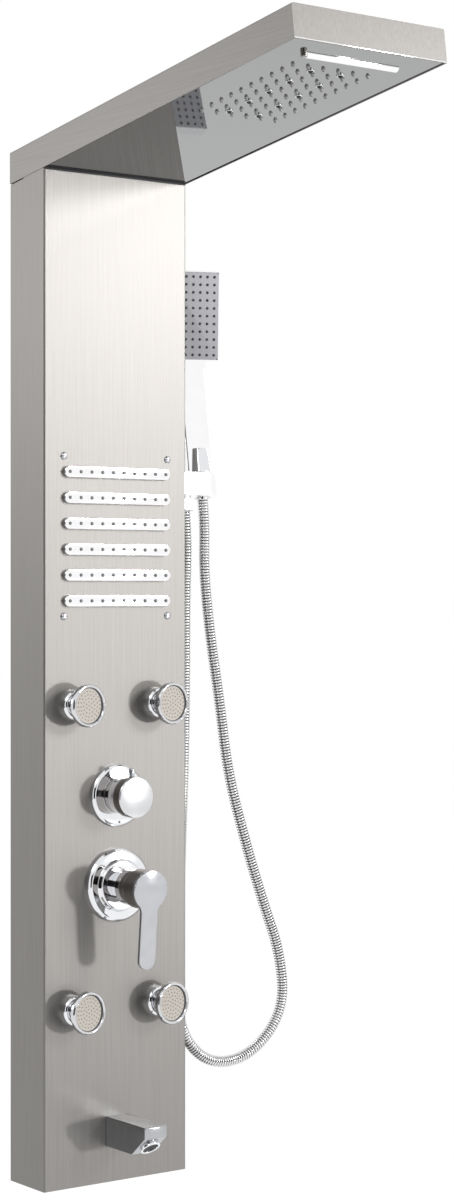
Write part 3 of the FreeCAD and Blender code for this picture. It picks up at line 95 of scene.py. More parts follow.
# geometry: every maker gives (points, faces) in millimetres. A profile lists (radius, height) and an
# outline lists (across, up); a third number rounds that corner over so many millimetres
def softened(points, closed=False, steps=4):
    soft = []
    count = len(points)
    for index, point in enumerate(points):
        corner = Vector(point[:2])
        amount = point[2] if len(point) > 2 else 0
        atEnd = not closed and index in (0, count - 1)
        if not amount or atEnd:
            soft.append(corner)
            continue
        before = (Vector(points[index - 1][:2]) - corner).normalized() * amount + corner
        after = (Vector(points[(index + 1) % count][:2]) - corner).normalized() * amount + corner
        for step in range(steps + 1):
            t = step / steps
            soft.append(before * (1 - t) ** 2 + corner * 2 * t * (1 - t) + after * t ** 2)
    return soft


def lathe(profile, place=Matrix(), steps=64, shear=None):
    points = []
    faces = []
    rings = []
    for radius, height in softened(profile):
        start = len(points)
        if radius < 1e-6:
            points.append(place @ Vector((0, 0, height)))
            rings.append([start] * steps)
            continue
        for step in range(steps):
            angle = 2 * math.pi * step / steps
            spot = Vector((radius * math.cos(angle), radius * math.sin(angle), height))
            if shear:
                spot.z += shear(spot)
            points.append(place @ spot)
        rings.append(list(range(start, start + steps)))
    for low, high in zip(rings, rings[1:]):
        for step in range(steps):
            after = (step + 1) % steps
            face = []
            for corner in (low[step], low[after], high[after], high[step]):
                if corner not in face:
                    face.append(corner)
            if len(face) > 2:
                faces.append(face)
    return points, faces


def prism(outline, low, high, place=Matrix(), soft=0, limit=30):
    work = bmesh.new()
    ring = [work.verts.new((point[0], point[1], low)) for point in softened(outline, True)]
    base = work.faces.new(ring)
    top = bmesh.ops.extrude_face_region(work, geom=[base])["geom"]
    bmesh.ops.translate(work, vec=(0, 0, high - low),
                        verts=[item for item in top if isinstance(item, bmesh.types.BMVert)])
    bmesh.ops.recalc_face_normals(work, faces=work.faces)
    if soft:
        sharp = [edge for edge in work.edges if edge.calc_face_angle(0) > math.radians(limit)]
        bmesh.ops.bevel(work, geom=sharp, offset=soft, segments=3, profile=0.5, affect="EDGES",
                        clamp_overlap=True)
    work.verts.index_update()
    points = [place @ vert.co for vert in work.verts]
    faces = [[vert.index for vert in face.verts] for face in work.faces]
    work.free()
    return points, faces


def copies(shape, places):
    points = []
    faces = []
    for place in places:
        start = len(points)
        points += [place @ point for point in shape[0]]
        faces += [[corner + start for corner in face] for face in shape[1]]
    return points, faces


def piece(name, shapes, material, body, nodes=(), sharp=35):
    points = []
    faces = []
    for shape in shapes:
        start = len(points)
        points += [tuple(point) for point in shape[0]]
        faces += [[corner + start for corner in face] for face in shape[1]]
    mesh = bpy.data.meshes.new(name)
    mesh.from_pydata(points, [], faces)
    mesh.transform(Matrix.Scale(0.001, 4))
    work = bmesh.new()
    work.from_mesh(mesh)
    bmesh.ops.recalc_face_normals(work, faces=work.faces)
    work.to_mesh(mesh)
    work.free()
    mesh.polygons.foreach_set("use_smooth", [True] * len(mesh.polygons))
    mesh.set_sharp_from_angle(angle=math.radians(sharp))
    mesh.materials.append(material)
    made = bpy.data.objects.new(name, mesh)
    bpy.context.scene.collection.objects.link(made)
    if body:
        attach(made, body)
    if nodes:
        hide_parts(*nodes)
    return made


def arc(across, up, radius, first, sweep, steps):
    turns = [math.radians(first + sweep * step / steps) for step in range(steps + 1)]
    return [(across + radius * math.cos(turn), up + radius * math.sin(turn)) for turn in turns]


def slotRound(length, height):
    middle = length / 2 - height / 2
    return arc(middle, 0, height / 2, -90, 180, 12) + arc(-middle, 0, height / 2, 90, 180, 12)


def rectangle(width, low, high, corner=0):
    half = width / 2
    return [(-half, low, corner), (half, low, corner), (half, high, corner), (-half, high, corner)]


# materials: a material is (name, colour, roughness), a grain of noise that shifts both, and a fine relief
def stretchedNoise(nodes, links, source, scale, detail=3):
    mapping = nodes.new("ShaderNodeMapping")
    mapping.inputs["Scale"].default_value = scale
    links.new(source, mapping.inputs["Vector"])
    noise = nodes.new("ShaderNodeTexNoise")
    noise.inputs["Scale"].default_value = 1
    noise.inputs["Detail"].default_value = detail
    links.new(mapping.outputs["Vector"], noise.inputs["Vector"])
    return noise.outputs["Fac"]


def surface(name, colour, rough, metal=1, grain=(400, 400, 400), sideGrain=None, tint=0.05,
            roughSpread=0.05, bump=0.02, behind=None, relief=0.0005):
    material = bpy.data.materials.new(name)
    material.use_nodes = True
    nodes = material.node_tree.nodes
    links = material.node_tree.links
    shader = nodes["Principled BSDF"]
    shader.inputs["Metallic"].default_value = metal
    spot = nodes.new("ShaderNodeTexCoord").outputs["Object"]
    fine = stretchedNoise(nodes, links, spot, grain)
    if sideGrain:  # faces that look sideways, up or down have their own grain
        other = stretchedNoise(nodes, links, spot, sideGrain)
        normal = nodes.new("ShaderNodeSeparateXYZ")
        links.new(nodes.new("ShaderNodeNewGeometry").outputs["Normal"], normal.inputs["Vector"])
        facing = nodes.new("ShaderNodeMath")
        facing.operation = "LESS_THAN"
        facing.inputs[1].default_value = -0.7
        links.new(normal.outputs["Y"], facing.inputs[0])
        pick = nodes.new("ShaderNodeMix")
        links.new(facing.outputs[0], pick.inputs["Factor"])
        links.new(other, pick.inputs["A"])
        links.new(fine, pick.inputs["B"])
        fine = pick.outputs["Result"]
    ramp = nodes.new("ShaderNodeValToRGB")
    ramp.color_ramp.elements[0].position = 0.3
    ramp.color_ramp.elements[0].color = [part * (1 - tint) for part in colour] + [1]
    ramp.color_ramp.elements[1].position = 0.7
    ramp.color_ramp.elements[1].color = [min(1, part * (1 + tint)) for part in colour] + [1]
    links.new(fine, ramp.inputs["Fac"])
    shade = ramp.outputs["Color"]
    if behind:  # bare metal behind the panel's front, plated in front of it
        depth = nodes.new("ShaderNodeSeparateXYZ")
        links.new(spot, depth.inputs["Vector"])
        hidden = nodes.new("ShaderNodeMath")
        hidden.operation = "GREATER_THAN"
        hidden.inputs[1].default_value = -(column["depth"] - 0.5) / 1000
        links.new(depth.outputs["Y"], hidden.inputs[0])
        bare = nodes.new("ShaderNodeMix")
        bare.data_type = "RGBA"
        bare.inputs["B"].default_value = (*behind, 1)
        links.new(hidden.outputs[0], bare.inputs["Factor"])
        links.new(shade, bare.inputs["A"])
        shade = bare.outputs["Result"]
    links.new(shade, shader.inputs["Base Color"])
    spread = nodes.new("ShaderNodeMapRange")
    spread.inputs["To Min"].default_value = max(0, rough - roughSpread)
    spread.inputs["To Max"].default_value = rough + roughSpread
    links.new(fine, spread.inputs["Value"])
    links.new(spread.outputs["Result"], shader.inputs["Roughness"])
    uneven = nodes.new("ShaderNodeBump")
    uneven.inputs["Strength"].default_value = bump
    uneven.inputs["Distance"].default_value = relief
    links.new(fine, uneven.inputs["Height"])
    links.new(uneven.outputs["Normal"], shader.inputs["Normal"])
    return material


# scales are periods per metre: long along the brushing, short across it
finish = {
    "brushed_sheet": surface("brushedSheet", (0.235, 0.226, 0.216), 0.42, grain=(1300, 1300, 9),
                             tint=0.1, roughSpread=0.05, bump=0.12),
    "polished_sheet": surface("polishedSheet", (0.28, 0.285, 0.285), 0.03, grain=(700, 10, 700),
                              tint=0.02, roughSpread=0.015, bump=0.01),
    "chrome": surface("chrome", (0.80, 0.81, 0.83), 0.05, grain=(60, 60, 60), tint=0.02,
                      roughSpread=0.02, bump=0.01),
    "hose_metal": surface("hoseMetal", (0.74, 0.74, 0.74), 0.1, grain=(300, 300, 300), tint=0.05,
                          roughSpread=0.05, bump=0.05),
    "nozzle_rubber": surface("nozzleRubber", (0.80, 0.79, 0.78), 0.45, metal=0,
                             grain=(900, 900, 900), tint=0.08, bump=0.1),
    "jet_cream": surface("jetCream", (0.70, 0.655, 0.595), 0.5, metal=0, grain=(500, 500, 500),
                         tint=0.04, bump=0.08),
    "face_grey": surface("faceGrey", (0.47, 0.47, 0.50), 0.4, metal=0, grain=(700, 700, 700),
                         tint=0.05, bump=0.08),
    "aerator_dark": surface("aeratorDark", (0.05, 0.05, 0.05), 0.5, metal=0,
                            grain=(1500, 1500, 1500), tint=0.4, bump=0.4),
    "brass": surface("brass", (0.55, 0.39, 0.17), 0.35, grain=(250, 250, 250), tint=0.1, bump=0.1),
    "pin_steel": surface("pinSteel", (0.5, 0.5, 0.5), 0.3, grain=(800, 800, 800), tint=0.05),
    "moulded_plastic": surface("mouldedPlastic", (0.55, 0.55, 0.54), 0.55, metal=0,
                               grain=(900, 900, 900), tint=0.04, bump=0.12),
    "pipe_metal": surface("pipeMetal", (0.58, 0.58, 0.58), 0.3, grain=(300, 300, 300), tint=0.08),
    "zinc_steel": surface("zincSteel", (0.52, 0.53, 0.54), 0.4, grain=(120, 120, 120), tint=0.12,
                          roughSpread=0.1, bump=0.05),
}
headSheet = surface("headSheet", (0.235, 0.226, 0.216), 0.42, grain=(1300, 1300, 9),
                    sideGrain=(1300, 9, 1300), tint=0.1, roughSpread=0.05, bump=0.12)
# painted highlight: a lighter copy of chrome, standing in for the light these parts catch
chromePaintedHighlight = surface("chromePaintedHighlight", (0.94, 0.94, 0.95), 0.06, grain=(60, 60, 60), tint=0.01,
                       roughSpread=0.02, bump=0.01)
# painted shade: a darker copy of chrome for the screws, knob peg, lever and hose nut
chromePaintedShade = surface("chromePaintedShade", (0.52, 0.53, 0.555), 0.12, grain=(80, 80, 80), tint=0.03,
                    roughSpread=0.04, bump=0.01)
# painted shade: a darker copy of chrome for the spout
spoutChromePaintedShade = surface("spoutChromePaintedShade", (0.44, 0.45, 0.47), 0.12, grain=(80, 80, 80), tint=0.03,
                      roughSpread=0.04, bump=0.01)
# painted shade: a slightly darker copy of chrome for the jet caps and knob face
chromeMildPaintedShade = surface("chromeMildPaintedShade", (0.67, 0.675, 0.69), 0.07, grain=(60, 60, 60), tint=0.02,
                     roughSpread=0.02, bump=0.01)
# painted shade: a much darker copy of chrome for the knob grip, mixer collar, lever cap and the fall
# lip's end
chromeDeepPaintedShade = surface("chromeDeepPaintedShade", (0.33, 0.31, 0.30), 0.12, grain=(80, 80, 80), tint=0.03,
                     roughSpread=0.03, bump=0.01)
platedBrass = surface("platedBrass", (0.80, 0.81, 0.83), 0.07, grain=(60, 60, 60), tint=0.02,
                      roughSpread=0.02, bump=0.01, behind=(0.55, 0.39, 0.17))
ribShadow = surface("ribShadow", (0.07, 0.07, 0.075), 0.3, grain=(300, 300, 300), tint=0.2)
rubberGrey = surface("rubberGrey", (0.24, 0.24, 0.24), 0.9, metal=0, grain=(900, 900, 900),
                     tint=0.15, bump=0.1)
rubberDark = surface("rubberDark", (0.045, 0.045, 0.05), 0.5, metal=0, grain=(900, 900, 900),
                     tint=0.2, bump=0.1)
dotBrown = surface("dotBrown", (0.30, 0.18, 0.10), 0.5, metal=0, grain=(900, 900, 900), tint=0.2,
                   bump=0.1)
chrome = finish["chrome"]
special = {"head_shell": headSheet, "mixer_body": platedBrass, "diverter_body": platedBrass,
           "hose_holder": chromePaintedHighlight, "hose_nut": chromePaintedShade, "hand_shower_body": chromePaintedHighlight}
for node, made in frame["nodes"].items():
    made.data.materials.clear()
    made.data.materials.append(special.get(node) or finish[slotOf[node]])
print("materials made")


# hose: one ribbed tube along the route's spline. A rib has one ring for each of its depths, which
# are shares of the groove. Left of the foot (x) the hose runs up beside the column
hose = {"radius": 7, "groove": 1.1, "pitch": 3.5, "sides": 24, "length": 1.47, "foot": 128,
        "depths": (0, 0, 0.15, 0.85, 1, 0.5), "darkRings": (3, 4),
        "route": [(149.5, -39.4, 805.2), (149.5, -43.96, 775.5), (146.5, -46, 720), (156.5, -45, 640),
                  (171.5, -44, 560), (185, -43, 470), (212, -42, 385), (239, -41.5, 310),
                  (268, -41, 240), (274, -41, 168), (222, -41, 116), (156, -41, 113),
                  (111.5, -41.5, 160), (111, -42, 240), (112.5, -43, 325), (115, -44, 415),
                  (118, -45, 505), (118.5, -46, 600), (117.5, -47.5, 690), (120.5, -47.0, 755.8),
                  (120.5, -41.7, 790.4)]}


def splinePoints(name, route, resolution=24):
    curve = bpy.data.curves.new(name, "CURVE")
    curve.dimensions = "3D"
    spline = curve.splines.new("NURBS")
    spline.points.add(len(route) - 1)
    for point, spot in zip(spline.points, route):
        point.co = (*(Vector(spot) / 1000), 1)
    spline.order_u = 3
    spline.use_endpoint_u = True
    spline.resolution_u = resolution
    holder = bpy.data.objects.new(name, curve)
    bpy.context.scene.collection.objects.link(holder)
    line = bpy.data.meshes.new_from_object(holder)
    points = [vert.co.copy() for vert in line.vertices]
    bpy.data.objects.remove(holder)
    return points


def evenly(points, step):
    even = [points[0].copy()]
    left = step
    for start, end in zip(points, points[1:]):
        run = (end - start).length
        done = 0
        while run - done >= left:
            done += left
            even.append(start.lerp(end, done / run))
            left = step
        left -= run - done
    if (even[-1] - points[-1]).length > step * 0.3:
        even.append(points[-1].copy())
    return even


def tube(points, radii, sides, startCap=True, endCap=True):
    side = Vector((0, -1, 0))
    ringPoints = []
    faces = []
    for index, point in enumerate(points):
        heading = points[min(index + 1, len(points) - 1)] - points[max(index - 1, 0)]
        heading.normalize()
        side = (side - heading * side.dot(heading)).normalized()
        other = heading.cross(side)
        for step in range(sides):
            angle = 2 * math.pi * step / sides
            ringPoints.append((point + (side * math.cos(angle) + other * math.sin(angle))
                               * radii[index]) * 1000)
    for index in range(len(points) - 1):
        for step in range(sides):
            after = (step + 1) % sides
            low = index * sides
            faces.append([low + step, low + after, low + sides + after, low + sides + step])
    last = (len(points) - 1) * sides
    if startCap:
        faces.append(list(range(sides)))
    if endCap:
        faces.append([last + step for step in range(sides)])
    return ringPoints, faces


ribRings = len(hose["depths"])
hoseLine = evenly(splinePoints("hoseRoute", hose["route"]), hose["pitch"] / (1000 * ribRings))
hoseRadii = [(hose["radius"] - hose["groove"] * hose["depths"][index % ribRings]) / 1000
             for index in range(len(hoseLine))]


def hoseRun(name, first, last):
    rings = tube(hoseLine[first:last + 1], hoseRadii[first:last + 1], hose["sides"],
                 first == 0, last == len(hoseLine) - 1)
    run = piece(name, [rings], finish["hose_metal"], None, sharp=50)
    run.data.materials.append(ribShadow)
    for polygon in run.data.polygons[:(last - first) * hose["sides"]]:
        ring = polygon.index // hose["sides"] % ribRings
        polygon.material_index = int(ring in hose["darkRings"])
    return run


# the hose is built in two runs split at the foot, the outer run and the run beside the column, then
# joined and welded into one mesh
footRing = next(index for index, point in enumerate(hoseLine)
                if point.x * 1000 < hose["foot"] and index % ribRings == 0)
showerHose = hoseRun("showerHose", 0, footRing)
innerRun = hoseRun("innerRun", footRing, len(hoseLine) - 1)
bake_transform(showerHose)
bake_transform(innerRun)
with bpy.context.temp_override(active_object=showerHose,
                               selected_editable_objects=[showerHose, innerRun]):
    bpy.ops.object.join()
weld = bmesh.new()
weld.from_mesh(showerHose.data)
bmesh.ops.remove_doubles(weld, verts=weld.verts, dist=1e-6)
weld.to_mesh(showerHose.data)
weld.free()
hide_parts("shower_hose")
print("hose made, %d rings" % len(hoseLine))


# spray strips
strips = {"length": 149, "height": 13.5, "rise": 5, "pitch": 30, "count": 6, "centre": 756.5,
          "nozzles": 10, "nozzlePitch": 15, "spineLength": 120, "spineHalf": 3, "spineDepth": (-1.5, 0.5),
          "edge": 1.1,
          "tip": [(0.6, 1.0), (0.7, 1.6, 0.1), (1.3, 1.6, 0.3), (1.55, 0.5, 0.2), (2.0, 0.35, 0.1),
                  (2.0, 0)],
          "well": [(0, 1.1), (0.62, 1.1)]}
lowStrip = strips["centre"] - strips["pitch"] * (strips["count"] - 1) / 2
stripPlaces = [onFront(0, lowStrip + strips["pitch"] * row) for row in range(strips["count"])]
bar = prism(slotRound(strips["length"], strips["height"]), 0, strips["rise"], soft=strips["edge"])
spine = prism(rectangle(strips["spineLength"], -strips["spineHalf"], strips["spineHalf"]),
              *strips["spineDepth"])
piece("sprayStrips", [copies(bar, stripPlaces), copies(spine, stripPlaces)], chromePaintedHighlight, "root",
      ["spray_strips"])
tip = lathe(strips["tip"], steps=18)
well = lathe(strips["well"], steps=18)
tipPlaces = [place @ moved((index - (strips["nozzles"] - 1) / 2) * strips["nozzlePitch"], 0,
                           strips["rise"])
             for place in stripPlaces for index in range(strips["nozzles"])]
piece("stripNozzles", [copies(tip, tipPlaces)], rubberGrey, "root", ["strip_nozzles"])
piece("stripOutlets", [copies(well, tipPlaces)], finish["nozzle_rubber"], "root")

screws = {"across": 146, "up": 186,
          "dome": [(2.4, -8), (2.4, 0), (4.3, 0), (4.3, 0.8, 0.4), (3.6, 1.9, 0.8), (2.0, 2.5, 0.8),
                   (0, 2.6)]}
dome = lathe(screws["dome"], steps=32)
screwPlaces = [onFront(side * screws["across"] / 2, strips["centre"] + way * screws["up"] / 2)
               for side in (-1, 1) for way in (-1, 1)]
piece("panelScrews", [copies(dome, screwPlaces)], chromePaintedShade, "root", ["manifold_screws"])
print("strips made")


# body jets
jets = {"spacing": 118, "heights": (560.5, 206), "ballOut": 5, "ballRadius": 12.05, "pan": 9,
        "rings": ((0, 1), (4.4, 6), (8.6, 12), (12.8, 17), (16.8, 22)), "ringTurn": 0.13,
        "face": 22, "gapShadeRadius": 20.95, "gapShadeThin": 0.6, "gapShadeWide": 2.4,
        "ring": [(8, -20), (8, -4.6), (10.8, -1.2), (12.2, 2.2), (12.5, 5), (12.13, 8),
                 (13.0, 8.6, 0.3), (15.4, 8.2, 0.8), (18, 5.8, 1.4), (18, 0), (15, 0), (15, -20),
                 (8, -20)],
        "cap": [(4.5, 19), (4.5, 11.6), (8.9, 8.8), (11.5, 8.8, 0.6), (13.6, 11.6, 2),
                (21.5, 15.4, 3), (25, 17.2, 1.4), (25, 22.9, 1.6), (23.6, 24.5, 1.2),
                (21.9, 24.3, 1.2), (21, 23, 0.8), (20.9, 22.2), (21.9, 21.4), (21.9, 19),
                (4.5, 19)],
        "plate": [(0, 22), (20.9, 22), (21.8, 21.3, 0.5), (21.8, 19), (0, 19)],
        "dot": [(0.75, 0), (0.7, 0.3, 0.15), (0.3, 0.36), (0, 0.36)]}
ballArc = [math.radians(turn) for turn in range(-60, 66, 5)]
ballProfile = [(jets["ballRadius"] * math.cos(turn), jets["ballRadius"] * math.sin(turn))
               for turn in ballArc]
dot = lathe(jets["dot"], steps=10)


# painted shade: a dark crescent round the face, widest on the right, where the gap round the face is in
# shade
def crescent(outer, thin, wide, height, place, outerRise=0.15, innerRise=0.08, steps=64):
    points = []
    faces = []
    for step in range(steps):
        turn = 2 * math.pi * step / steps
        inner = outer - thin - (wide - thin) * max(0, math.cos(turn)) ** 1.5
        for radius, rise in ((outer, height), (outer, height + outerRise), (inner, height + innerRise),
                             (inner, height)):
            points.append(place @ Vector((radius * math.cos(turn), radius * math.sin(turn), rise)))
    for step in range(steps):
        low = step * 4
        high = (step + 1) % steps * 4
        faces += [[low + side, high + side, high + (side + 1) % 4, low + (side + 1) % 4]
                  for side in range(4)]
    return points, faces


number = 0
for height in jets["heights"]:
    for side in (-1, 1):
        number += 1
        seat = onFront(side * jets["spacing"] / 2, height)
        centre = seat @ moved(0, 0, jets["ballOut"])
        aim = moved(*centre.translation) @ turned(jets["pan"], "Z") @ turned(90, "X")
        piece("jetRing%d" % number, [lathe(jets["ring"], seat)], chrome, "root",
              ["jet_base_%d" % number])
        piece("jetBall%d" % number, [lathe(ballProfile, aim)], chrome, "jet_ball_%d_body" % number,
              ["jet_ball_%d" % number])
        body = "jet_head_%d_body" % number
        # painted shade in the gap round the jet's face
        gap = crescent(jets["gapShadeRadius"], jets["gapShadeThin"], jets["gapShadeWide"], jets["face"], aim)
        piece("jetGapShade%d" % number, [gap], rubberDark, body)
        piece("jetCap%d" % number, [lathe(jets["cap"], aim, 80)], chromeMildPaintedShade, body,
              ["jet_head_%d" % number])
        piece("jetFace%d" % number, [lathe(jets["plate"], aim)], finish["jet_cream"], body,
              ["jet_face_%d" % number])
        dots = []
        for radius, count in jets["rings"]:
            for index in range(count):
                angle = 2 * math.pi * (index + radius * jets["ringTurn"]) / count
                dots.append(aim @ moved(radius * math.cos(angle), radius * math.sin(angle),
                                        jets["face"]))
        piece("jetDots%d" % number, [copies(dot, dots)], dotBrown, body)
print("jets made")


# function knob
knob = {"height": 453, "pegHeight": 32, "marks": (38, 180, -38), "markRadius": 31,
        "plate": [(14.1, 0), (36.5, 0), (36.5, 3.6, 0.8), (33.6, 6.3, 1.4), (14.1, 6.3)],
        "grip": [(5.1, 6.9), (21, 6.9, 0.6), (20.4, 12, 2), (22.4, 22, 4), (23.4, 28, 0.3),
                 (24, 28.4, 0.3), (24, 41.0)],
        "face": [(24, 41.0), (24, 41.4, 0.3), (22.8, 42.5, 0.6), (0, 42.5)],
        "peg": [(2.4, 12), (3.3, 14), (3.3, 32.4, 0.8), (2.4, 33.4, 0.5), (0, 33.4)],
        "mark": [(1.3, 6.2), (1.2, 6.9, 0.2), (0, 7.0)]}
knobPlace = onFront(0, knob["height"])
piece("knobPlate", [lathe(knob["plate"], knobPlace, 96)], chrome, "root", ["diverter_plate"])
pegPlace = knobPlace @ moved(0, 0, knob["pegHeight"]) @ turned(-90, "X")
piece("functionKnob", [lathe(knob["grip"], knobPlace, 96)], chromeDeepPaintedShade, "knob", ["diverter_knob"])
piece("knobFace", [lathe(knob["face"], knobPlace, 96)], chromeMildPaintedShade, "knob")
piece("knobPeg", [lathe(knob["peg"], pegPlace, 28)], chromePaintedShade, "knob")

markDot = lathe(knob["mark"], steps=16)
markPlaces = [knobPlace @ turned(turn, "Z") @ moved(0, knob["markRadius"], 0)
              for turn in knob["marks"]]
piece("knobMarks", [copies(markDot, markPlaces)], rubberDark, "root")

# mixer: plate, collar and keyhole lever
mixer = {"height": 348, "slope": 5, "slopeFrom": 60, "reach": 93, "blade": 22, "cap": 23,
         "front": 72, "thick": 5, "fillet": 14,
         "plate": [(16.6, 0), (43, 0), (43, 4.6, 0.8), (39.6, 8, 1.6), (31, 8, 0.8),
                   (29, 12.4, 0.7), (27.6, 13, 0.4), (16.6, 13)],
         "collar": [(15, 27), (20.4, 27, 0.4), (21, 27.8, 0.4), (21, 45.2, 0.6), (20.2, 46.2, 0.4),
                    (15, 46.2)],
         "shell": [(4.05, 62.1), (4.05, 57), (21.6, 57), (21.6, 46.8), (22.8, 46.8, 0.4),
                   (22.9, 47.6, 0.3), (22.9, 68.0), (0, 68.0)]}
mixerPlace = onFront(0, mixer["height"])
piece("mixerPlate", [lathe(mixer["plate"], mixerPlace, 96)], chrome, "root", ["mixer_plate"])
piece("mixerCollar", [lathe(mixer["collar"], mixerPlace, 80)], chromeDeepPaintedShade, "root",
      ["cartridge_cover"])


# tilts the cap's top as the blade tilts
def leverShear(spot):
    if spot.z < mixer["slopeFrom"]:
        return 0
    return spot.y * math.tan(math.radians(mixer["slope"]))


def keyhole():
    cap = mixer["cap"]
    half = mixer["blade"] / 2
    fillet = mixer["fillet"]
    tipCentre = mixer["reach"] - half
    joinX = half + fillet  # centre of the fillet circle beside the blade
    joinY = -math.sqrt((cap + fillet) ** 2 - joinX ** 2)
    touch = math.degrees(math.atan2(joinY, joinX))
    return (arc(0, 0, cap, touch, 180 - 2 * touch, 40) + arc(-joinX, joinY, fillet, -touch, touch, 8)
            + arc(0, -tipCentre, half, 180, 180, 16) + arc(joinX, joinY, fillet, 180, touch, 8))


leverPlace = mixerPlace @ moved(0, 0, mixer["front"]) @ turned(mixer["slope"], "X")
blade = prism(keyhole(), -mixer["thick"], 0, leverPlace, soft=0.9, limit=50)
piece("mixerLever", [blade], chromePaintedShade, "lever", ["mixer_lever"])
piece("leverCap", [lathe(mixer["shell"], mixerPlace, 80, leverShear)], chromeDeepPaintedShade, "lever")
print("knob and mixer made")


# spout
spout = {"top": 77.5, "drop": 35, "width": 30, "reach": 82, "nose": 12.7, "belly": 55,
         "tail": [(6, 0.5), (10, 0.5), (10, -24), (6, -24), (6, 0.5)],
         "ring": [(0, -8), (11, -8), (11, 0.8, 0.4), (11.9, 1.2, 0.4), (11.9, 4.2, 0.8),
                  (9.3, 4.2, 0.7), (9.1, -1)],
         "mesh": [(0, 2.4), (9.2, 2.0), (9.2, 1.2), (0, 1.2)]}
spoutHalf = spout["drop"] / 2
spoutPlace = onFront(0, spout["top"] - spoutHalf)
spoutOutline = [(0, -spoutHalf), (0, spoutHalf, 1), (spout["reach"], spoutHalf, 2),
                (spout["reach"], spoutHalf - spout["nose"], 1), (spout["belly"], -spoutHalf, 1)]
alongSide = spoutPlace @ Matrix(((0, 0, 1, 0), (0, 1, 0, 0), (1, 0, 0, 0), (0, 0, 0, 1)))
bill = prism(spoutOutline, -spout["width"] / 2, spout["width"] / 2, alongSide, soft=1.0)
tail = lathe(spout["tail"], spoutPlace, 40)
piece("spout", [bill, tail], spoutChromePaintedShade, "root", ["spout"])
rise = spout["drop"] - spout["nose"]
run = spout["reach"] - spout["belly"]
mouth = spoutPlace @ moved(0, -spout["nose"] / 2, (spout["reach"] + spout["belly"]) / 2) \
    @ turned(90 - math.degrees(math.atan2(rise, run)), "X")
piece("aeratorRing", [lathe(spout["ring"], mouth, 56)], chrome, "root", ["aerator"])
piece("aeratorMesh", [lathe(spout["mesh"], mouth, 40)], finish["aerator_dark"], "root")
print("spout made")


# rain head: nozzles and the fall's lip under the tray
rain = {"columns": 6, "rows": 10, "across": 20, "along": 18, "inset": 69,
        "tip": [(2.3, 0), (2.3, 0.7, 0.2), (1.9, 1.1, 0.3), (1.5, 2.9, 0.3), (0.9, 2.9), (0.8, 2.2),
                (0, 2.2)],
        "powerRing": [(3.1, 0.4), (3.2, 1.5, 0.2), (4.2, 1.5, 0.5), (4.2, 0)],
        "powerTip": [(3.1, 0.3), (2.6, 0.5, 0.2), (1.9, 2.9, 0.4), (1.1, 2.9), (1.0, 1.8), (0, 1.8)]}
lip = {"length": 124, "inset": 36,
       "profile": [(-2, 0), (-2, 4.6, 0.5), (1.6, 4.6, 0.8), (4.6, 1.6, 0.8), (4.6, 0)],
       "end": [(0, 5.2), (3.2, 5.0, 0.8), (3.6, 4, 0.5), (3.6, 0)]}
lastRow = head["length"] - rain["inset"]
rainTip = lathe(rain["tip"], steps=18)
rainPlaces = [underPlace @ moved((index - (rain["columns"] - 1) / 2) * rain["across"],
                                 lastRow - row * rain["along"], 0)
              for index in range(rain["columns"]) for row in range(rain["rows"])]
piece("rainNozzles", [copies(rainTip, rainPlaces)], finish["nozzle_rubber"], "root",
      ["rain_nozzles"])
powerPlaces = [underPlace @ moved(side * rain["across"],
                                  lastRow - (rain["rows"] - 1.5 - row * 2) * rain["along"], 0)
               for side in (-1, 1) for row in range(rain["rows"] // 2)]
powerRing = lathe(rain["powerRing"], steps=28)
powerTip = lathe(rain["powerTip"], steps=20)
piece("powerRings", [copies(powerRing, powerPlaces)], chrome, "root")
piece("powerNozzles", [copies(powerTip, powerPlaces)], rubberDark, "root", ["power_nozzles"])
lipPlace = underPlace @ moved(0, head["length"] - lip["inset"], 0)
lipHalf = lip["length"] / 2
acrossLip = lipPlace @ Matrix(((0, 0, 1, 0), (1, 0, 0, 0), (0, 1, 0, 0), (0, 0, 0, 1)))
lipBar = prism(lip["profile"], -lipHalf, lipHalf, acrossLip, soft=0.3, limit=60)
piece("fallLip", [lipBar], chromePaintedHighlight, "root", ["waterfall_lip"])
# painted shade: a dark cap on the lip's left end only, the end turned from the lamps
lipEndShade = lathe(lip["end"], lipPlace @ moved(-lipHalf, 1, 0), 24)
piece("fallLipEndShade", [lipEndShade], chromeDeepPaintedShade, "root")

# painted highlight: a bright strip along the head's front edge stands in for the folded edge's highlight;
# painted shade: a dark strip between head and column stands in for the shade in the seam
neck = {"edgeHighlight": (-0.9, 0.25), "edgeHighlightRise": (-0.4, 0.7), "edgeHighlightSoft": 0.2, "inset": 1,
        "seamShade": (-0.25, 3), "seamShadeRise": (-1, 1.8), "cover": (-78.8, -72),
        "coverRise": (0.55, 0.98), "seamShadeEdge": 0.1}
# painted highlight along the head's front edge
edgeHighlight = prism(rectangle(head["width"], *neck["edgeHighlight"]), *neck["edgeHighlightRise"],
             underPlace @ moved(0, head["length"], 0), soft=neck["edgeHighlightSoft"])
piece("headEdgeHighlight", [edgeHighlight], chromePaintedHighlight, "root")
# painted shade: dark strips in and over the seam between column and head
seamShadeWidth = column["width"] - 2 * neck["inset"]
seamShade = prism(rectangle(seamShadeWidth, *neck["seamShade"]), *neck["seamShadeRise"],
             moved(0, -column["depth"], column["height"]), soft=neck["seamShadeEdge"])
cover = prism(rectangle(seamShadeWidth, *neck["cover"]), *neck["coverRise"], headPlace,
              soft=neck["seamShadeEdge"])
piece("neckSeamShade", [seamShade, cover], rubberDark, "root")
print("rain head made")


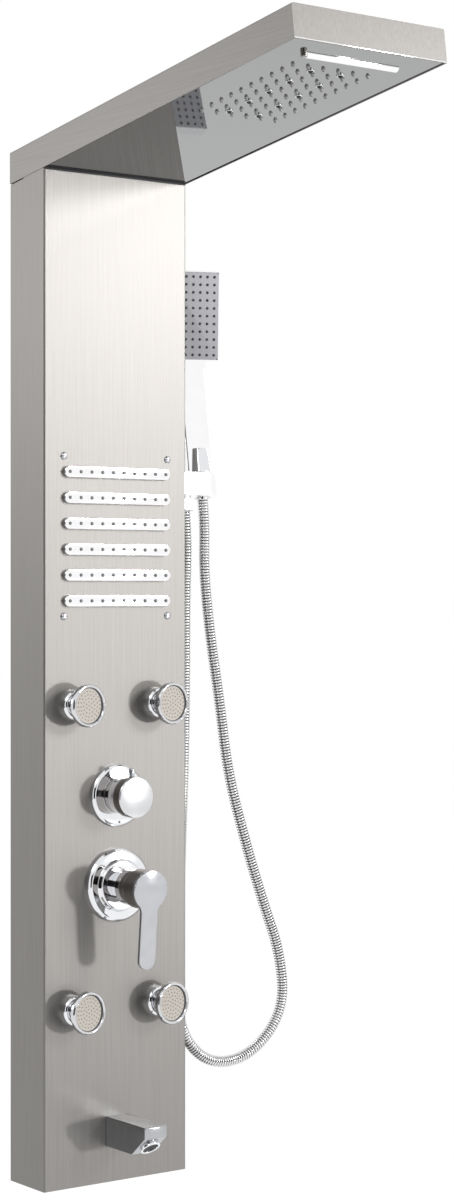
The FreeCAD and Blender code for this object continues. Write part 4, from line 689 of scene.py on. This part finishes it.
# hand shower: ferrule, face plate and nozzles
face = {"width": 72, "length": 111, "border": 2.1, "corner": 4, "sheet": 2.4, "columns": 7,
        "rows": 11, "pitch": 9.55, "edge": 0.4,
        "tip": [(1.75, 0), (1.6, 0.6, 0.2), (1.0, 1.2, 0.3), (0, 1.2)],
        "ferrule": [(8.6, 15.4), (14.2, 15.4, 0.3), (14.2, 17, 0.3), (11.2, 45.6, 0.5),
                    (10.6, 46.3, 0.3), (5, 46.3)]}
piece("handFerrule", [lathe(face["ferrule"], handPlace, 56)], chrome, "hand_shower")
tall = face["length"] / 2 - face["border"]
facePlate = prism(rectangle(face["width"] - 2 * face["border"], -tall, tall, face["corner"]),
                  -face["sheet"], 0, facePlace, soft=face["edge"])
piece("handFace", [facePlate], finish["face_grey"], "hand_shower", ["hand_shower_plate"])
sprayTip = lathe(face["tip"], steps=16)
sprayPlaces = [facePlace @ moved((index - (face["columns"] - 1) / 2) * face["pitch"],
                                 (row - (face["rows"] - 1) / 2) * face["pitch"], 0)
               for index in range(face["columns"]) for row in range(face["rows"])]
piece("handNozzles", [copies(sprayTip, sprayPlaces)], rubberDark, "hand_shower",
      ["hand_shower_nozzles"])
print("hand shower made")


# stage, in metres: pale floor, white surroundings, four lamps, and two dark cards that only the
# metal mirrors. Lamps are (place, target, size, power)
stage = {"surroundings": 0.6, "floorSize": 30, "floorHeight": -0.6, "floorGrey": 0.27,
         "floorGlow": 0.84, "cardLow": -0.1, "cardHigh": 1.7, "cardGrey": 0.02,
         "cards": {"cameraCard": [(-3.0, -2.35), (-2.0, -3.1), (-1.1, -3.45)],
                   "leftCard": [(-2.3, 0.5), (-2.2, -1.0)]},
         "lamps": {"keyLamp": ((3.65, -5.6, 0.25), (0, -0.07, 0.5), (0.5, 0.55), 50),
                   "topLamp": ((1.9, -2.7, 1.7), (0, -0.07, 0.9), (0.9, 0.9), 41),
                   "leftLamp": ((-2.6, 2.7, 1.5), (-0.1, 0, 0.8), (1, 1), 11.5),
                   "fillLamp": ((-2.2, -1.7, 2.6), (0, -0.07, 0.7), (1, 1), 9)}}


def whiteForCamera(tree, other, white):
    path = tree.nodes.new("ShaderNodeLightPath")
    either = tree.nodes.new("ShaderNodeMath")
    either.operation = "MAXIMUM"
    tree.links.new(path.outputs["Is Camera Ray"], either.inputs[0])
    tree.links.new(path.outputs["Is Glossy Ray"], either.inputs[1])
    every = tree.nodes.new("ShaderNodeMath")
    every.operation = "MAXIMUM"
    tree.links.new(either.outputs[0], every.inputs[0])
    tree.links.new(path.outputs["Is Transmission Ray"], every.inputs[1])
    mix = tree.nodes.new("ShaderNodeMixShader")
    tree.links.new(every.outputs[0], mix.inputs["Fac"])
    tree.links.new(other.outputs[0], mix.inputs[1])
    tree.links.new(white.outputs[0], mix.inputs[2])
    return mix


def makeWorld():
    level = stage["surroundings"]
    world = bpy.data.worlds.new("surroundings")
    world.use_nodes = True
    tree = world.node_tree
    tree.nodes.clear()
    dim = tree.nodes.new("ShaderNodeBackground")
    dim.inputs["Color"].default_value = (level, level, level, 1)
    white = tree.nodes.new("ShaderNodeBackground")
    white.inputs["Color"].default_value = (1, 1, 1, 1)
    output = tree.nodes.new("ShaderNodeOutputWorld")
    tree.links.new(whiteForCamera(tree, dim, white).outputs[0], output.inputs["Surface"])
    bpy.context.scene.world = world


def makeSheet(name, corners, faces, material):
    mesh = bpy.data.meshes.new(name)
    mesh.from_pydata(corners, [], faces)
    mesh.materials.append(material)
    made = bpy.data.objects.new(name, mesh)
    bpy.context.scene.collection.objects.link(made)
    return made


def makeFloor():
    size = stage["floorSize"]
    height = stage["floorHeight"]
    material = bpy.data.materials.new("floorPaper")
    material.use_nodes = True
    tree = material.node_tree
    tree.nodes.clear()
    paper = tree.nodes.new("ShaderNodeBsdfDiffuse")
    paper.inputs["Color"].default_value = (*[stage["floorGrey"]] * 3, 1)
    glow = tree.nodes.new("ShaderNodeEmission")
    glow.inputs["Strength"].default_value = stage["floorGlow"]
    shaded = tree.nodes.new("ShaderNodeAddShader")
    tree.links.new(paper.outputs[0], shaded.inputs[0])
    tree.links.new(glow.outputs[0], shaded.inputs[1])
    output = tree.nodes.new("ShaderNodeOutputMaterial")
    tree.links.new(whiteForCamera(tree, paper, shaded).outputs[0], output.inputs["Surface"])
    makeSheet("floor", [(-size, -size, height), (size, -size, height), (size, size, height),
                        (-size, size, height)], [[0, 1, 2, 3]], material)


def makeCard(name, line):
    material = bpy.data.materials.new(name)
    material.use_nodes = True
    shader = material.node_tree.nodes["Principled BSDF"]
    shader.inputs["Base Color"].default_value = (*[stage["cardGrey"]] * 3, 1)
    shader.inputs["Specular IOR Level"].default_value = 0
    low = [(x, y, stage["cardLow"]) for x, y in line]
    high = [(x, y, stage["cardHigh"]) for x, y in reversed(line)]
    last = 2 * len(line) - 1
    faces = [[index, index + 1, last - 1 - index, last - index] for index in range(len(line) - 1)]
    card = makeSheet(name, low + high, faces, material)
    card.visible_camera = False
    card.visible_diffuse = False
    card.visible_shadow = False


def makeLamp(name, place, target, size, power):
    data = bpy.data.lights.new(name, "AREA")
    data.shape = "ELLIPSE"
    data.size, data.size_y = size
    data.energy = power
    made = bpy.data.objects.new(name, data)
    made.location = place
    made.rotation_euler = (Vector(target) - Vector(place)).to_track_quat("-Z", "Y").to_euler()
    bpy.context.scene.collection.objects.link(made)


makeWorld()
makeFloor()
for name, line in stage["cards"].items():
    makeCard(name, line)
for name, lamp in stage["lamps"].items():
    makeLamp(name, *lamp)
print("stage made")
